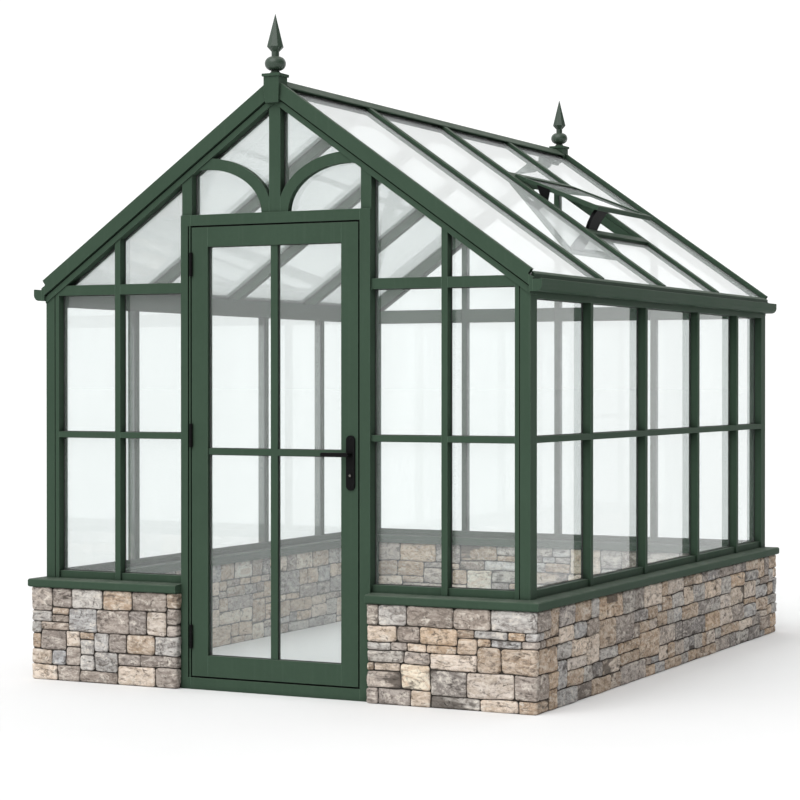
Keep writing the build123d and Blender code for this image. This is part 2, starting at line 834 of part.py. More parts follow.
def finial():
    """The front finial: a turned collar, ball and neck under an eight-sided spike."""
    base = finial_box_top + finial_cap_thickness
    ball_low = base + finial_collar_height
    ball_high = ball_low + finial_ball_height
    neck_top = ball_high + finial_neck_height
    waist = finial_neck_radius
    edges = Polyline((waist, ball_low), (finial_collar_radius, base), (0, base), (0, neck_top),
                     (waist, neck_top), (waist, ball_high))
    widest_point = (finial_ball_radius, (ball_low + ball_high) / 2)
    edges += ThreePointArc((waist, ball_high), widest_point, (waist, ball_low))
    turned = revolve(Plane.XZ * make_face(edges), axis=Axis.Z)
    flare_top = neck_top + finial_flare_height
    neck = Pos(0, 0, neck_top) * RegularPolygon(waist, finial_sides)
    widest = Pos(0, 0, flare_top) * RegularPolygon(finial_spike_radius, finial_sides)
    tip = Pos(0, 0, flare_top + finial_spike_height) * RegularPolygon(finial_tip_radius, finial_sides)
    body = turned + loft([neck, widest]) + loft([widest, tip])
    return Pos(0, -finial_y, 0) * body


def finials():
    cap_half = (finial_box_width / 2 + finial_cap_overhang, finial_box_depth / 2 + finial_cap_overhang)
    cap = block((-cap_half[0], cap_half[0]), (-finial_y - cap_half[1], -finial_y + cap_half[1]),
                (finial_box_top, finial_box_top + finial_cap_thickness))
    return {
        "finial_boxes": front_and_back([finial_box() + cap]),
        "finials": front_and_back([finial()]),
    }


# --- door leaf

def door_slot(x, z):
    """A cut for the door's glass, over spans in x and z."""
    middle = (leaf_front + leaf_back) / 2
    return block(x, (middle - glass_slot(), middle + glass_slot()), z)


def through_leaf(x, z, radius):
    """A round bar along Y through the leaf, longer than the leaf is thick."""
    length = 3 * leaf_thickness
    return Pos(x, (leaf_front + leaf_back) / 2, z) * Rot(90, 0, 0) * Cylinder(radius, length)


def door_stiles():
    half = leaf_width / 2
    inner = half - stile_width
    y = (leaf_front, leaf_back)
    stile = block((inner, half), y, (leaf_bottom, leaf_top))
    glass_z = (leaf_bottom + door_bottom_rail, leaf_top - door_top_rail)
    stile -= door_slot((inner - overrun, inner + groove_depth), wider(glass_z, groove_depth))
    lock_side = stile - through_leaf(handle_x, handle_height, spindle_radius + hinge_clearance)
    lock_side -= through_leaf(handle_x, handle_height - lock_drop, lock_radius + hinge_clearance)
    return [lock_side, mirror(stile, about=Plane.YZ)]


def door_rails():
    inner = leaf_width / 2 - stile_width
    x = (-inner, inner)
    y = (leaf_front, leaf_back)
    low = leaf_bottom + door_bottom_rail
    high = leaf_top - door_top_rail
    bottom = block(x, y, (leaf_bottom, low))
    bottom -= door_slot(wider(x, overrun), (low - groove_depth, low + overrun))
    top = block(x, y, (high, leaf_top))
    top -= door_slot(wider(x, overrun), (high - overrun, high + groove_depth))
    return [bottom, top]


def door_bars():
    """The cross of glazing bars: an upright with a level bar each side of it, in one piece."""
    inner = leaf_width / 2 - stile_width
    middle = (leaf_front + leaf_back) / 2
    y = (middle - door_bar_depth / 2, middle + door_bar_depth / 2)
    low = leaf_bottom + door_bottom_rail
    high = leaf_top - door_top_rail
    half = door_bar_width / 2
    level = door_mid_span
    cross = block((-half, half), y, (low, high)) + block((-inner, inner), y, level)
    for x in ((-half - overrun, -half + groove_depth), (half - groove_depth, half + overrun)):
        cross -= door_slot(x, (low - overrun, level[0] + groove_depth))
        cross -= door_slot(x, (level[1] - groove_depth, high + overrun))
    for x in ((-inner - overrun, -half), (half, inner + overrun)):
        cross -= door_slot(x, (level[0] - overrun, level[0] + groove_depth))
        cross -= door_slot(x, (level[1] - groove_depth, level[1] + overrun))
    return [cross]


def door_glass():
    inner = leaf_width / 2 - stile_width
    middle = (leaf_front + leaf_back) / 2
    y = (middle - glass_thickness / 2, middle + glass_thickness / 2)
    half = door_bar_width / 2
    rows = [(leaf_bottom + door_bottom_rail, door_mid_span[0]), (door_mid_span[1], leaf_top - door_top_rail)]
    return left_and_right([block(wider((half, inner), glass_bite), y, wider(z, glass_bite)) for z in rows])


def upright_barrel(low, high, radius):
    """A round bar along the door's hinge line."""
    return Pos(hinge_x, hinge_y, (low + high) / 2) * Cylinder(radius, high - low)


def hinge_halves(z):
    """A butt hinge at height z: the half on the leaf, and the half with the pin on the door post."""
    third = hinge_length / 3
    low = z - hinge_length / 2
    flap_y = (hinge_y, leaf_front + hinge_flap_width)
    leaf_edge = -leaf_width / 2
    leaf_half = upright_barrel(low + third + hinge_clearance, low + 2 * third - hinge_clearance, hinge_radius)
    leaf_half += block((leaf_edge - hinge_flap_thickness, leaf_edge), flap_y,
                       (low + third + hinge_clearance, low + 2 * third - hinge_clearance))
    leaf_half += block((leaf_edge - hinge_flap_thickness, leaf_edge), (leaf_front, flap_y[1]),
                       (low, low + hinge_length))
    leaf_half -= upright_barrel(low, low + hinge_length, hinge_pin_radius + hinge_clearance)
    post_half = upright_barrel(low, low + third, hinge_radius)
    post_half += upright_barrel(low + 2 * third, low + hinge_length, hinge_radius)
    post_half += upright_barrel(low, low + hinge_length, hinge_pin_radius)
    flap_x = (-opening_half, -opening_half + hinge_flap_thickness)
    for span in ((low, low + third), (low + 2 * third, low + hinge_length)):
        post_half += block(flap_x, flap_y, span)
    post_half += block(flap_x, (leaf_front, flap_y[1]), (low, low + hinge_length))
    return leaf_half, post_half


def plate_outline():
    """The handle plate's rounded outline, on the leaf's front face."""
    z = handle_height + plate_above_spindle - plate_length / 2
    plate = RectangleRounded(plate_width, plate_length, plate_corner)
    return Pos(handle_x, leaf_front, z) * Rot(90, 0, 0) * plate


def handle_plates():
    """A plate on each face of the lock stile, with holes for the lever's neck and the lock."""
    plate = extrude(plate_outline(), amount=plate_thickness, dir=(0, -1, 0))
    plate -= through_leaf(handle_x, handle_height, lever_neck_radius + hinge_clearance)
    plate -= through_leaf(handle_x, handle_height - lock_drop, lock_radius + hinge_clearance)
    middle = (leaf_front + leaf_back) / 2
    return [plate, mirror(plate, about=Plane.XZ.offset(-middle))]


def lock_cylinder():
    length = leaf_thickness + 2 * (plate_thickness + lock_proud)
    middle = (leaf_front + leaf_back) / 2
    return [Pos(handle_x, middle, handle_height - lock_drop) * Rot(90, 0, 0) * Cylinder(lock_radius, length)]


def levers():
    """Both levers and the spindle between them, in one piece."""
    middle = (leaf_front + leaf_back) / 2
    face = leaf_front - lever_reach
    neck_length = lever_reach - lever_thickness / 2
    neck = Pos(handle_x, leaf_front - neck_length / 2, handle_height) * Rot(90, 0, 0)
    neck = neck * Cylinder(lever_neck_radius, neck_length)
    half = lever_height / 2
    arm = block((handle_x - lever_length + half, handle_x), (face, face + lever_thickness),
                (handle_height - half, handle_height + half))
    rounded_end = Rot(90, 0, 0) * Cylinder(half, lever_thickness)
    for x in (handle_x - lever_length + half, handle_x):
        arm += Pos(x, face + lever_thickness / 2, handle_height) * rounded_end
    lever = neck + arm
    spindle = Cylinder(spindle_radius, leaf_thickness + 2 * spindle_lap)
    spindle = Pos(handle_x, middle, handle_height) * Rot(90, 0, 0) * spindle
    return [lever + mirror(lever, about=Plane.XZ.offset(-middle)) + spindle]


def door():
    halves = [hinge_halves(z) for z in hinge_heights]
    return {
        "door_stiles": door_stiles(),
        "door_rails": door_rails(),
        "door_glazing_bars": door_bars(),
        "door_glass": door_glass(),
        "door_hinges": [leaf_half for leaf_half, post_half in halves],
        "door_post_hinges": [post_half for leaf_half, post_half in halves],
        "door_handle_plates": handle_plates(),
        "door_lock_cylinder": lock_cylinder(),
        "door_lever": levers(),
    }


def greenhouse():
    """Every node's solids, by the node's name."""
    sections = (stone_walls, sills, corner_posts, mullions, bottom_rails, mid_bars, transoms, wall_plates,
                door_frame, gables, roof, wall_glass, roof_glass, roof_vent, finials, door)
    nodes = {}
    for section in sections:
        nodes.update(section())
    return nodes


os.makedirs("parts", exist_ok=True)
for name, solids in greenhouse().items():
    export_step(Compound(children=list(solids)), f"parts/{name}.step")
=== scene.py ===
from math import pi, radians

import bpy
import numpy as np
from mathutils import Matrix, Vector


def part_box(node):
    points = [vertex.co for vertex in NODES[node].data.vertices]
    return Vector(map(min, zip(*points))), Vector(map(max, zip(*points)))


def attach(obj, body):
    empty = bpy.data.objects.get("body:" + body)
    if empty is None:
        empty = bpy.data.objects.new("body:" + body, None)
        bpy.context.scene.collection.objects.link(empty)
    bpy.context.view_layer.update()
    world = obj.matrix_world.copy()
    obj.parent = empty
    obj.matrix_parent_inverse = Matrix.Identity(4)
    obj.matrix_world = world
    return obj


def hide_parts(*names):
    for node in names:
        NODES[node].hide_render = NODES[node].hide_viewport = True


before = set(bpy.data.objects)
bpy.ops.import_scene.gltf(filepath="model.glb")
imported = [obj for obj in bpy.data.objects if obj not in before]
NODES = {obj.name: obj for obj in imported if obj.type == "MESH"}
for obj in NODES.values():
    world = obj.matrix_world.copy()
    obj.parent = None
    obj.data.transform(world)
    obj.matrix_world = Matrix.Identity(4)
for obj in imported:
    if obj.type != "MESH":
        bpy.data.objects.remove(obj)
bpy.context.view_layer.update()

bl_info = {
    "name": "Glass Greenhouse Finish",
    "version": (1, 0, 0),
    "blender": (4, 5, 0),
    "location": "3D View > Sidebar > Greenhouse",
    "description": "Stone walls, paint, glass, seals and fixings for a walk-in glass greenhouse",
    "category": "Object",
}

STONE_WALLS = ("front_stone_wall_left", "left_stone_wall", "back_stone_wall", "right_stone_wall",
               "front_stone_wall_right")
WALL_GLASS = ("front_glass", "left_glass", "right_glass", "back_glass")
ROOF_GLASS = ("left_roof_glass", "right_roof_glass", "vent_glass")
DOOR_GLASS = ("door_glass",)
BLACK_METAL = ("door_handle_plates", "door_hinges", "door_lever", "door_lock_cylinder", "door_post_hinges",
               "vent_stays")
CAST_PARTS = ("finials",)


# --- settings that a user would change

class StoneSettings(bpy.types.PropertyGroup):
    """The stone facing of the low walls."""
    row: bpy.props.FloatProperty(name="Row", description="Step that the stones' heights go up by", default=0.0177,
                                 min=0.01, max=0.1, unit="LENGTH")
    step: bpy.props.FloatProperty(name="Step", description="Step that the stones' lengths go up by", default=0.0155,
                                  min=0.01, max=0.1, unit="LENGTH")
    joint: bpy.props.FloatProperty(name="Joint", description="Width of the joints between stones", default=0.0022,
                                   min=0.001, max=0.02, unit="LENGTH")
    joint_depth: bpy.props.FloatProperty(name="Joint depth", description="Depth of the joints behind the stones' "
                                         "faces", default=0.009, min=0.002, max=0.04, unit="LENGTH")
    relief: bpy.props.FloatProperty(name="Relief", description="Height of the split faces' bumps", default=0.0030,
                                    min=0.0, max=0.02, unit="LENGTH")
    outer_grid: bpy.props.FloatProperty(name="Outer grid", description="Grid spacing of the outer faces",
                                        default=0.0058, min=0.003, max=0.03, unit="LENGTH")
    inner_grid: bpy.props.FloatProperty(name="Inner grid", description="Grid spacing of the inner faces",
                                        default=0.009, min=0.005, max=0.05, unit="LENGTH")
    seed: bpy.props.IntProperty(name="Seed", description="Start of the random layout", default=11, min=0)


class PaintSettings(bpy.types.PropertyGroup):
    """The powder coat of the metal frame and the black of the fittings."""
    green: bpy.props.FloatVectorProperty(name="Frame green", description="Colour of the frame's powder coat",
                                         subtype="COLOR", default=(0.039, 0.065, 0.044), min=0.0, max=1.0)
    black: bpy.props.FloatVectorProperty(name="Fitting black", description="Colour of the hinges, handle and stays",
                                         subtype="COLOR", default=(0.004, 0.004, 0.0042), min=0.0, max=1.0)
    edge: bpy.props.FloatProperty(name="Edge radius", description="Softness of the bars' edges", default=0.0020,
                                  min=0.0, max=0.01, unit="LENGTH")
    dust: bpy.props.FloatProperty(name="Dust", description="Share of dust on surfaces that face up", default=0.16,
                                  min=0.0, max=1.0, subtype="FACTOR")


class GlassSettings(bpy.types.PropertyGroup):
    """The panes."""
    tint: bpy.props.FloatVectorProperty(name="Tint", description="Colour of the glass", subtype="COLOR",
                                        default=(0.895, 0.922, 0.918), min=0.0, max=1.0)
    clarity: bpy.props.FloatProperty(name="Clarity", description="Share of light that the wall panes let through "
                                     "unscattered", default=0.955, min=0.5, max=1.0, subtype="FACTOR")
    roof_clarity: bpy.props.FloatProperty(name="Roof clarity", description="The same share for the roof panes",
                                          default=0.72, min=0.5, max=1.0, subtype="FACTOR")
    seal: bpy.props.FloatProperty(name="Seal", description="Width of the rubber seal that shows along each pane",
                                  default=0.003, min=0.001, max=0.02, unit="LENGTH")


class StageSettings(bpy.types.PropertyGroup):
    """The floor, lights and camera."""
    eye: bpy.props.FloatVectorProperty(name="Camera", description="Place of the camera", subtype="TRANSLATION",
                                       default=(4.7312, -9.914, 1.365))
    azimuth: bpy.props.FloatProperty(name="Azimuth", description="Turn of the camera about the vertical",
                                     default=radians(26.463), subtype="ANGLE")
    pitch: bpy.props.FloatProperty(name="Pitch", description="Tilt of the camera above the horizon",
                                   default=radians(-0.457), subtype="ANGLE")
    lens: bpy.props.FloatProperty(name="Lens", description="Focal length in millimetres", default=98.0, min=10.0)
    sky: bpy.props.FloatProperty(name="Sky", description="Strength of the white surround", default=1.10, min=0.0)
    shade: bpy.props.FloatProperty(name="Shade", description="Share of that strength on the building's right side",
                                   default=0.05, min=0.0, max=1.0, subtype="FACTOR")
    sun: bpy.props.FloatProperty(name="Sun", description="Strength of the wide, soft light from the upper front",
                                 default=1.8, min=0.0)
    spread: bpy.props.FloatProperty(name="Spread", description="Width of that light as seen from the floor",
                                    default=radians(55), min=0.0, max=pi, subtype="ANGLE")
    bearing: bpy.props.FloatVectorProperty(name="Bearing", description="Direction that the light comes from",
                                           subtype="DIRECTION", default=(-0.16, -0.95, 0.98))


# --- noise on whole arrays

def lattice(ix, iy, seed):
    """A fixed value from 0 to 1 for each whole-numbered point: multiply, shift and mix its two numbers."""
    mixed = (ix.astype(np.int64) * 374761393 + iy.astype(np.int64) * 668265263 + seed * 974634777) & 0xFFFFFFFF
    mixed = ((mixed ^ (mixed >> 13)) * 1274126177) & 0xFFFFFFFF
    return ((mixed ^ (mixed >> 16)) & 0xFFFFFF) / 0xFFFFFF


def soft_noise(x, y, seed):
    """Value noise from -1 to 1: the four lattice values round a point, weighted by 6t^5 - 15t^4 + 10t^3."""
    ix, iy = np.floor(x), np.floor(y)
    tx, ty = x - ix, y - iy
    wx = tx ** 3 * (tx * (tx * 6 - 15) + 10)
    wy = ty ** 3 * (ty * (ty * 6 - 15) + 10)
    low = lattice(ix, iy, seed) * (1 - wx) + lattice(ix + 1, iy, seed) * wx
    high = lattice(ix, iy + 1, seed) * (1 - wx) + lattice(ix + 1, iy + 1, seed) * wx
    return 2 * (low * (1 - wy) + high * wy) - 1


def layered_noise(x, y, seed, layers):
    """Soft noise summed over layers, each half as high and turned and shrunk to about half the size."""
    total = np.zeros_like(x)
    for i in range(layers):
        total = total + soft_noise(x, y, seed + i) / 2 ** i
        x, y = 1.6 * x + 1.2 * y, 1.6 * y - 1.2 * x
    return total


# --- meshes from arrays

def grid_faces(rows, columns, wrap=False):
    """Quads of a grid of rows by columns points, numbered row by row; wrap joins the last column to the first."""
    r = np.arange(rows - 1)[:, None]
    c = np.arange(columns if wrap else columns - 1)[None, :]
    after = (c + 1) % columns
    quads = np.stack([r * columns + c, r * columns + after, (r + 1) * columns + after, (r + 1) * columns + c], -1)
    return quads.reshape(-1, 4)


def rim_of_grid(rows, columns):
    """Point numbers round the border of such a grid, counter-clockwise from the first point."""
    bottom = np.arange(columns)
    right = np.arange(1, rows) * columns + columns - 1
    top = (rows - 1) * columns + np.arange(columns - 2, -1, -1)
    left = np.arange(rows - 2, 0, -1) * columns
    return np.concatenate([bottom, right, top, left])


class Parts:
    """Collects points, faces and each face's material, until they become one mesh."""

    def __init__(self):
        self.points = []
        self.faces = []
        self.slots = []
        self.values = {}
        self.count = 0

    def add(self, points, faces, slot=0, **values):
        """Adds points (n, 3), a list of face arrays, one material slot (or one for each of those arrays) and one
        value per named point attribute."""
        points = np.asarray(points, float)
        for group, number in zip(faces, np.broadcast_to(slot, len(faces))):
            group = np.asarray(group) + self.count
            self.faces.extend(group.tolist())
            self.slots.extend([int(number)] * len(group))
        self.points.append(points)
        for name, value in values.items():
            spread = np.broadcast_to(np.asarray(value, float), (len(points), np.size(value)))
            self.values.setdefault(name, []).append(spread)
        self.count += len(points)

    def build(self, name, materials, body, cad_slot, smooth=True):
        """Makes the mesh object, gives it its materials and attributes, and lets it ride on its body."""
        mesh = bpy.data.meshes.new(name)
        mesh.from_pydata(np.concatenate(self.points), [], self.faces)
        for material in materials:
            mesh.materials.append(material)
        mesh.polygons.foreach_set("material_index", np.array(self.slots, np.int32))
        mesh.polygons.foreach_set("use_smooth", np.full(len(self.faces), smooth))
        for attribute, values in self.values.items():
            values = np.concatenate(values).astype(np.float32)
            kind, field = ("FLOAT", "value") if values.shape[1] == 1 else ("FLOAT_COLOR", "color")
            layer = mesh.attributes.new(attribute, kind, "POINT")
            layer.data.foreach_set(field, values.ravel())
        mesh.update()
        piece = bpy.data.objects.new(name, mesh)
        bpy.context.scene.collection.objects.link(piece)
        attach(piece, body)
        return piece


def islands(node):
    """The points of each separate solid of a CAD node, found by spreading the lowest number along its edges."""
    mesh = NODES[node].data
    points = np.empty(len(mesh.vertices) * 3)
    mesh.vertices.foreach_get("co", points)
    points = points.reshape(-1, 3)
    keys, merged = np.unique(np.round(points, 6), axis=0, return_inverse=True)
    edges = np.empty(len(mesh.edges) * 2, np.int64)
    mesh.edges.foreach_get("vertices", edges)
    edges = merged.ravel()[edges].reshape(-1, 2)
    label = np.arange(len(keys))
    while True:
        lowest = label.copy()
        np.minimum.at(lowest, edges[:, 0], label[edges[:, 1]])
        np.minimum.at(lowest, edges[:, 1], label[edges[:, 0]])
        if np.array_equal(lowest, label):
            break
        label = lowest
    return [keys[label == i] for i in np.unique(label)]


def inset(corners, distance):
    """A flat outline (n, 2), counter-clockwise, moved inwards: each corner goes along its two edges' inward normals
    added together, over one plus their dot product."""
    before, after = corners - np.roll(corners, 1, 0), np.roll(corners, -1, 0) - corners
    sides = [np.stack([-e[:, 1], e[:, 0]], 1) / np.linalg.norm(e, axis=1)[:, None] for e in (before, after)]
    both = sides[0] + sides[1]
    return corners + distance * both / (1 + (sides[0] * sides[1]).sum(1))[:, None]


def ring(corners, section, place):
    """A closed bead round an outline: the outline inset and lifted by each (inset, height) of the section, and joined
    in both directions. Place turns (x, y, height) into points in space. Its faces are turned to point outwards."""
    flat = np.concatenate([np.column_stack([inset(corners, d), np.full(len(corners), h)]) for d, h in section])
    points = place(flat)
    faces = grid_faces(len(section) + 1, len(corners), wrap=True) % len(flat)
    p = points[faces]
    volume = (np.cross(p[:, 0], p[:, 1]) * p[:, 2] + np.cross(p[:, 0], p[:, 2]) * p[:, 3]).sum()
    return points, [faces if volume > 0 else faces[:, ::-1]]


def pane_outline(points):
    """A pane's corners on one face, counter-clockwise in its own plane, and the way back from there to space."""
    middle = points.mean(0)
    axes = np.linalg.svd(points - middle)[2]
    axes[2] *= np.sign(np.linalg.det(axes))
    flat = (points - middle) @ axes.T
    face = flat[flat[:, 2] > 0]
    order = np.argsort(np.arctan2(face[:, 1], face[:, 0]))
    return face[order, :2], face[0, 2], lambda p: middle + p @ axes


# --- shader building blocks

class Graph:
    """Adds nodes to a material or group and joins them."""

    def __init__(self, tree):
        self.tree = tree

    def add(self, kind, inputs=None, **settings):
        """A new node of a kind, with its settings set and its inputs fed."""
        node = self.tree.nodes.new("ShaderNode" + kind)
        for name, value in settings.items():
            setattr(node, name, value)
        for name, value in (inputs or {}).items():
            self.feed(node.inputs[name], value)
        return node

    def feed(self, socket, value):
        """Joins a socket to another one, or gives it a plain value."""
        if isinstance(value, bpy.types.NodeSocket):
            self.tree.links.new(value, socket)
        elif socket.type == "RGBA" and len(value) == 3:
            socket.default_value = (*value, 1.0)
        else:
            socket.default_value = value

    def math(self, operation, *values, clamp=False):
        """One step of arithmetic on values or sockets."""
        node = self.add("Math", operation=operation, use_clamp=clamp)
        for socket, value in zip(node.inputs, values):
            self.feed(socket, value)
        return node.outputs[0]

    def noise(self, vector, scale, detail=3.0, roughness=0.5, distortion=0.0):
        """Layered noise, about 0 to 1."""
        return self.add("TexNoise", {"Vector": vector, "Scale": scale, "Detail": detail, "Roughness": roughness,
                                     "Distortion": distortion}).outputs["Fac"]

    def ramp(self, value, low, high, to_low=0.0, to_high=1.0):
        """A smooth step from to_low to to_high, as the value goes from low to high."""
        return self.add("MapRange", {"Value": value, "From Min": low, "From Max": high, "To Min": to_low,
                                     "To Max": to_high}, interpolation_type="SMOOTHSTEP").outputs["Result"]

    def mix(self, factor, first, second, blend="MIX"):
        """A blend of two colours."""
        node = self.add("Mix", data_type="RGBA", blend_type=blend)
        for socket, value in ((node.inputs[0], factor), (node.inputs[6], first), (node.inputs[7], second)):
            self.feed(socket, value)
        return node.outputs[2]

    def stretched(self, vector, scale):
        """Coordinates times a scale along each axis."""
        return self.add("Mapping", {"Vector": vector, "Scale": scale}).outputs[0]


def new_group(name, inputs, outputs):
    """A shader group with named inputs (name, kind, default) and outputs (name, kind)."""
    tree = bpy.data.node_groups.new(name, "ShaderNodeTree")
    for label, kind, default in inputs:
        socket = tree.interface.new_socket(name=label, in_out="INPUT", socket_type="NodeSocket" + kind)
        if default is not None:
            socket.default_value = default
    for label, kind in outputs:
        tree.interface.new_socket(name=label, in_out="OUTPUT", socket_type="NodeSocket" + kind)
    graph = Graph(tree)
    return tree, graph, graph.tree.nodes.new("NodeGroupInput").outputs, graph.tree.nodes.new("NodeGroupOutput").inputs


def soft_edges_group():
    """Rounded edges: the Bevel normal, and a mask of how far it leans from the flat one."""
    tree, g, given, out = new_group("Soft Edges", [("Radius", "Float", 0.0015)], [("Normal", "Vector"),
                                                                                  ("Edge", "Float")])
    bevel = g.add("Bevel", {"Radius": given["Radius"]}, samples=4).outputs[0]
    flat = g.add("NewGeometry").outputs["True Normal"]
    lean = g.add("VectorMath", {0: bevel, 1: flat}, operation="DOT_PRODUCT").outputs["Value"]
    g.feed(out["Normal"], bevel)
    g.feed(out["Edge"], g.ramp(lean, 0.995, 0.80))
    return tree


def mottle_group():
    """Broad and fine variation about 1: two noises of Object coordinates, scaled by Amount."""
    tree, g, given, out = new_group("Mottle", [("Scale", "Float", 3.0), ("Amount", "Float", 0.1)],
                                    [("Factor", "Float"), ("Patches", "Float")])
    place = g.add("TexCoord").outputs["Object"]
    broad = g.noise(place, given["Scale"], 4.0, 0.6)
    fine = g.noise(place, g.math("MULTIPLY", given["Scale"], 23.0), 2.0)
    blend = g.math("ADD", g.math("MULTIPLY", broad, 0.7), g.math("MULTIPLY", fine, 0.3))
    lean = g.math("MULTIPLY", g.math("SUBTRACT", blend, 0.5), g.math("MULTIPLY", given["Amount"], 4.0))
    g.feed(out["Factor"], g.math("ADD", lean, 1.0))
    g.feed(out["Patches"], g.ramp(broad, 0.42, 0.66))
    return tree


def grain_group():
    """A fine bump: noise of Object coordinates, as a height in metres over the given normal."""
    tree, g, given, out = new_group("Fine Grain", [("Scale", "Float", 600.0), ("Depth", "Float", 0.00005),
                                                   ("Normal", "Vector", None)], [("Normal", "Vector")])
    place = g.add("TexCoord").outputs["Object"]
    height = g.noise(place, given["Scale"], 3.0, 0.6)
    bump = g.add("Bump", {"Strength": 1.0, "Distance": given["Depth"], "Height": height,
                          "Normal": given["Normal"]}).outputs[0]
    g.feed(out["Normal"], bump)
    return tree


def dust_group():
    """Dust that settles on what faces up, and thin marks where water runs down what stands upright."""
    tree, g, given, out = new_group("Dust And Runs", [("Dust", "Float", 0.15), ("Runs", "Float", 0.1)],
                                    [("Mask", "Float")])
    place = g.add("TexCoord").outputs["Object"]
    normal = g.add("NewGeometry").outputs["True Normal"]
    up = g.add("SeparateXYZ", {0: normal}).outputs["Z"]
    patches = g.noise(place, 14.0, 5.0, 0.65)
    settled = g.math("MULTIPLY", g.ramp(up, 0.35, 0.95), g.ramp(patches, 0.3, 0.7, 0.35, 1.0))
    drips = g.ramp(g.noise(g.stretched(place, (55.0, 55.0, 1.4)), 1.0, 3.0), 0.52, 0.75)
    upright = g.math("SUBTRACT", 1.0, g.math("ABSOLUTE", up), clamp=True)
    total = g.math("ADD", g.math("MULTIPLY", settled, given["Dust"]),
                   g.math("MULTIPLY", g.math("MULTIPLY", drips, upright), given["Runs"]), clamp=True)
    g.feed(out["Mask"], total)
    return tree


def corner_shade_group():
    """Painted shade in corners and grooves: where less than half of the surroundings can be seen, broken up by
    noise of Object coordinates."""
    tree, g, given, out = new_group("Corner Shade", [("Reach", "Float", 0.04)], [("Mask", "Float")])
    open_share = g.add("AmbientOcclusion", {"Distance": given["Reach"]}, samples=4).outputs["AO"]
    place = g.add("TexCoord").outputs["Object"]
    broken = g.ramp(g.noise(place, 9.0, 4.0, 0.6), 0.25, 0.7, 0.75, 1.0)
    g.feed(out["Mask"], g.math("MULTIPLY", g.ramp(open_share, 0.80, 0.20), broken))
    return tree


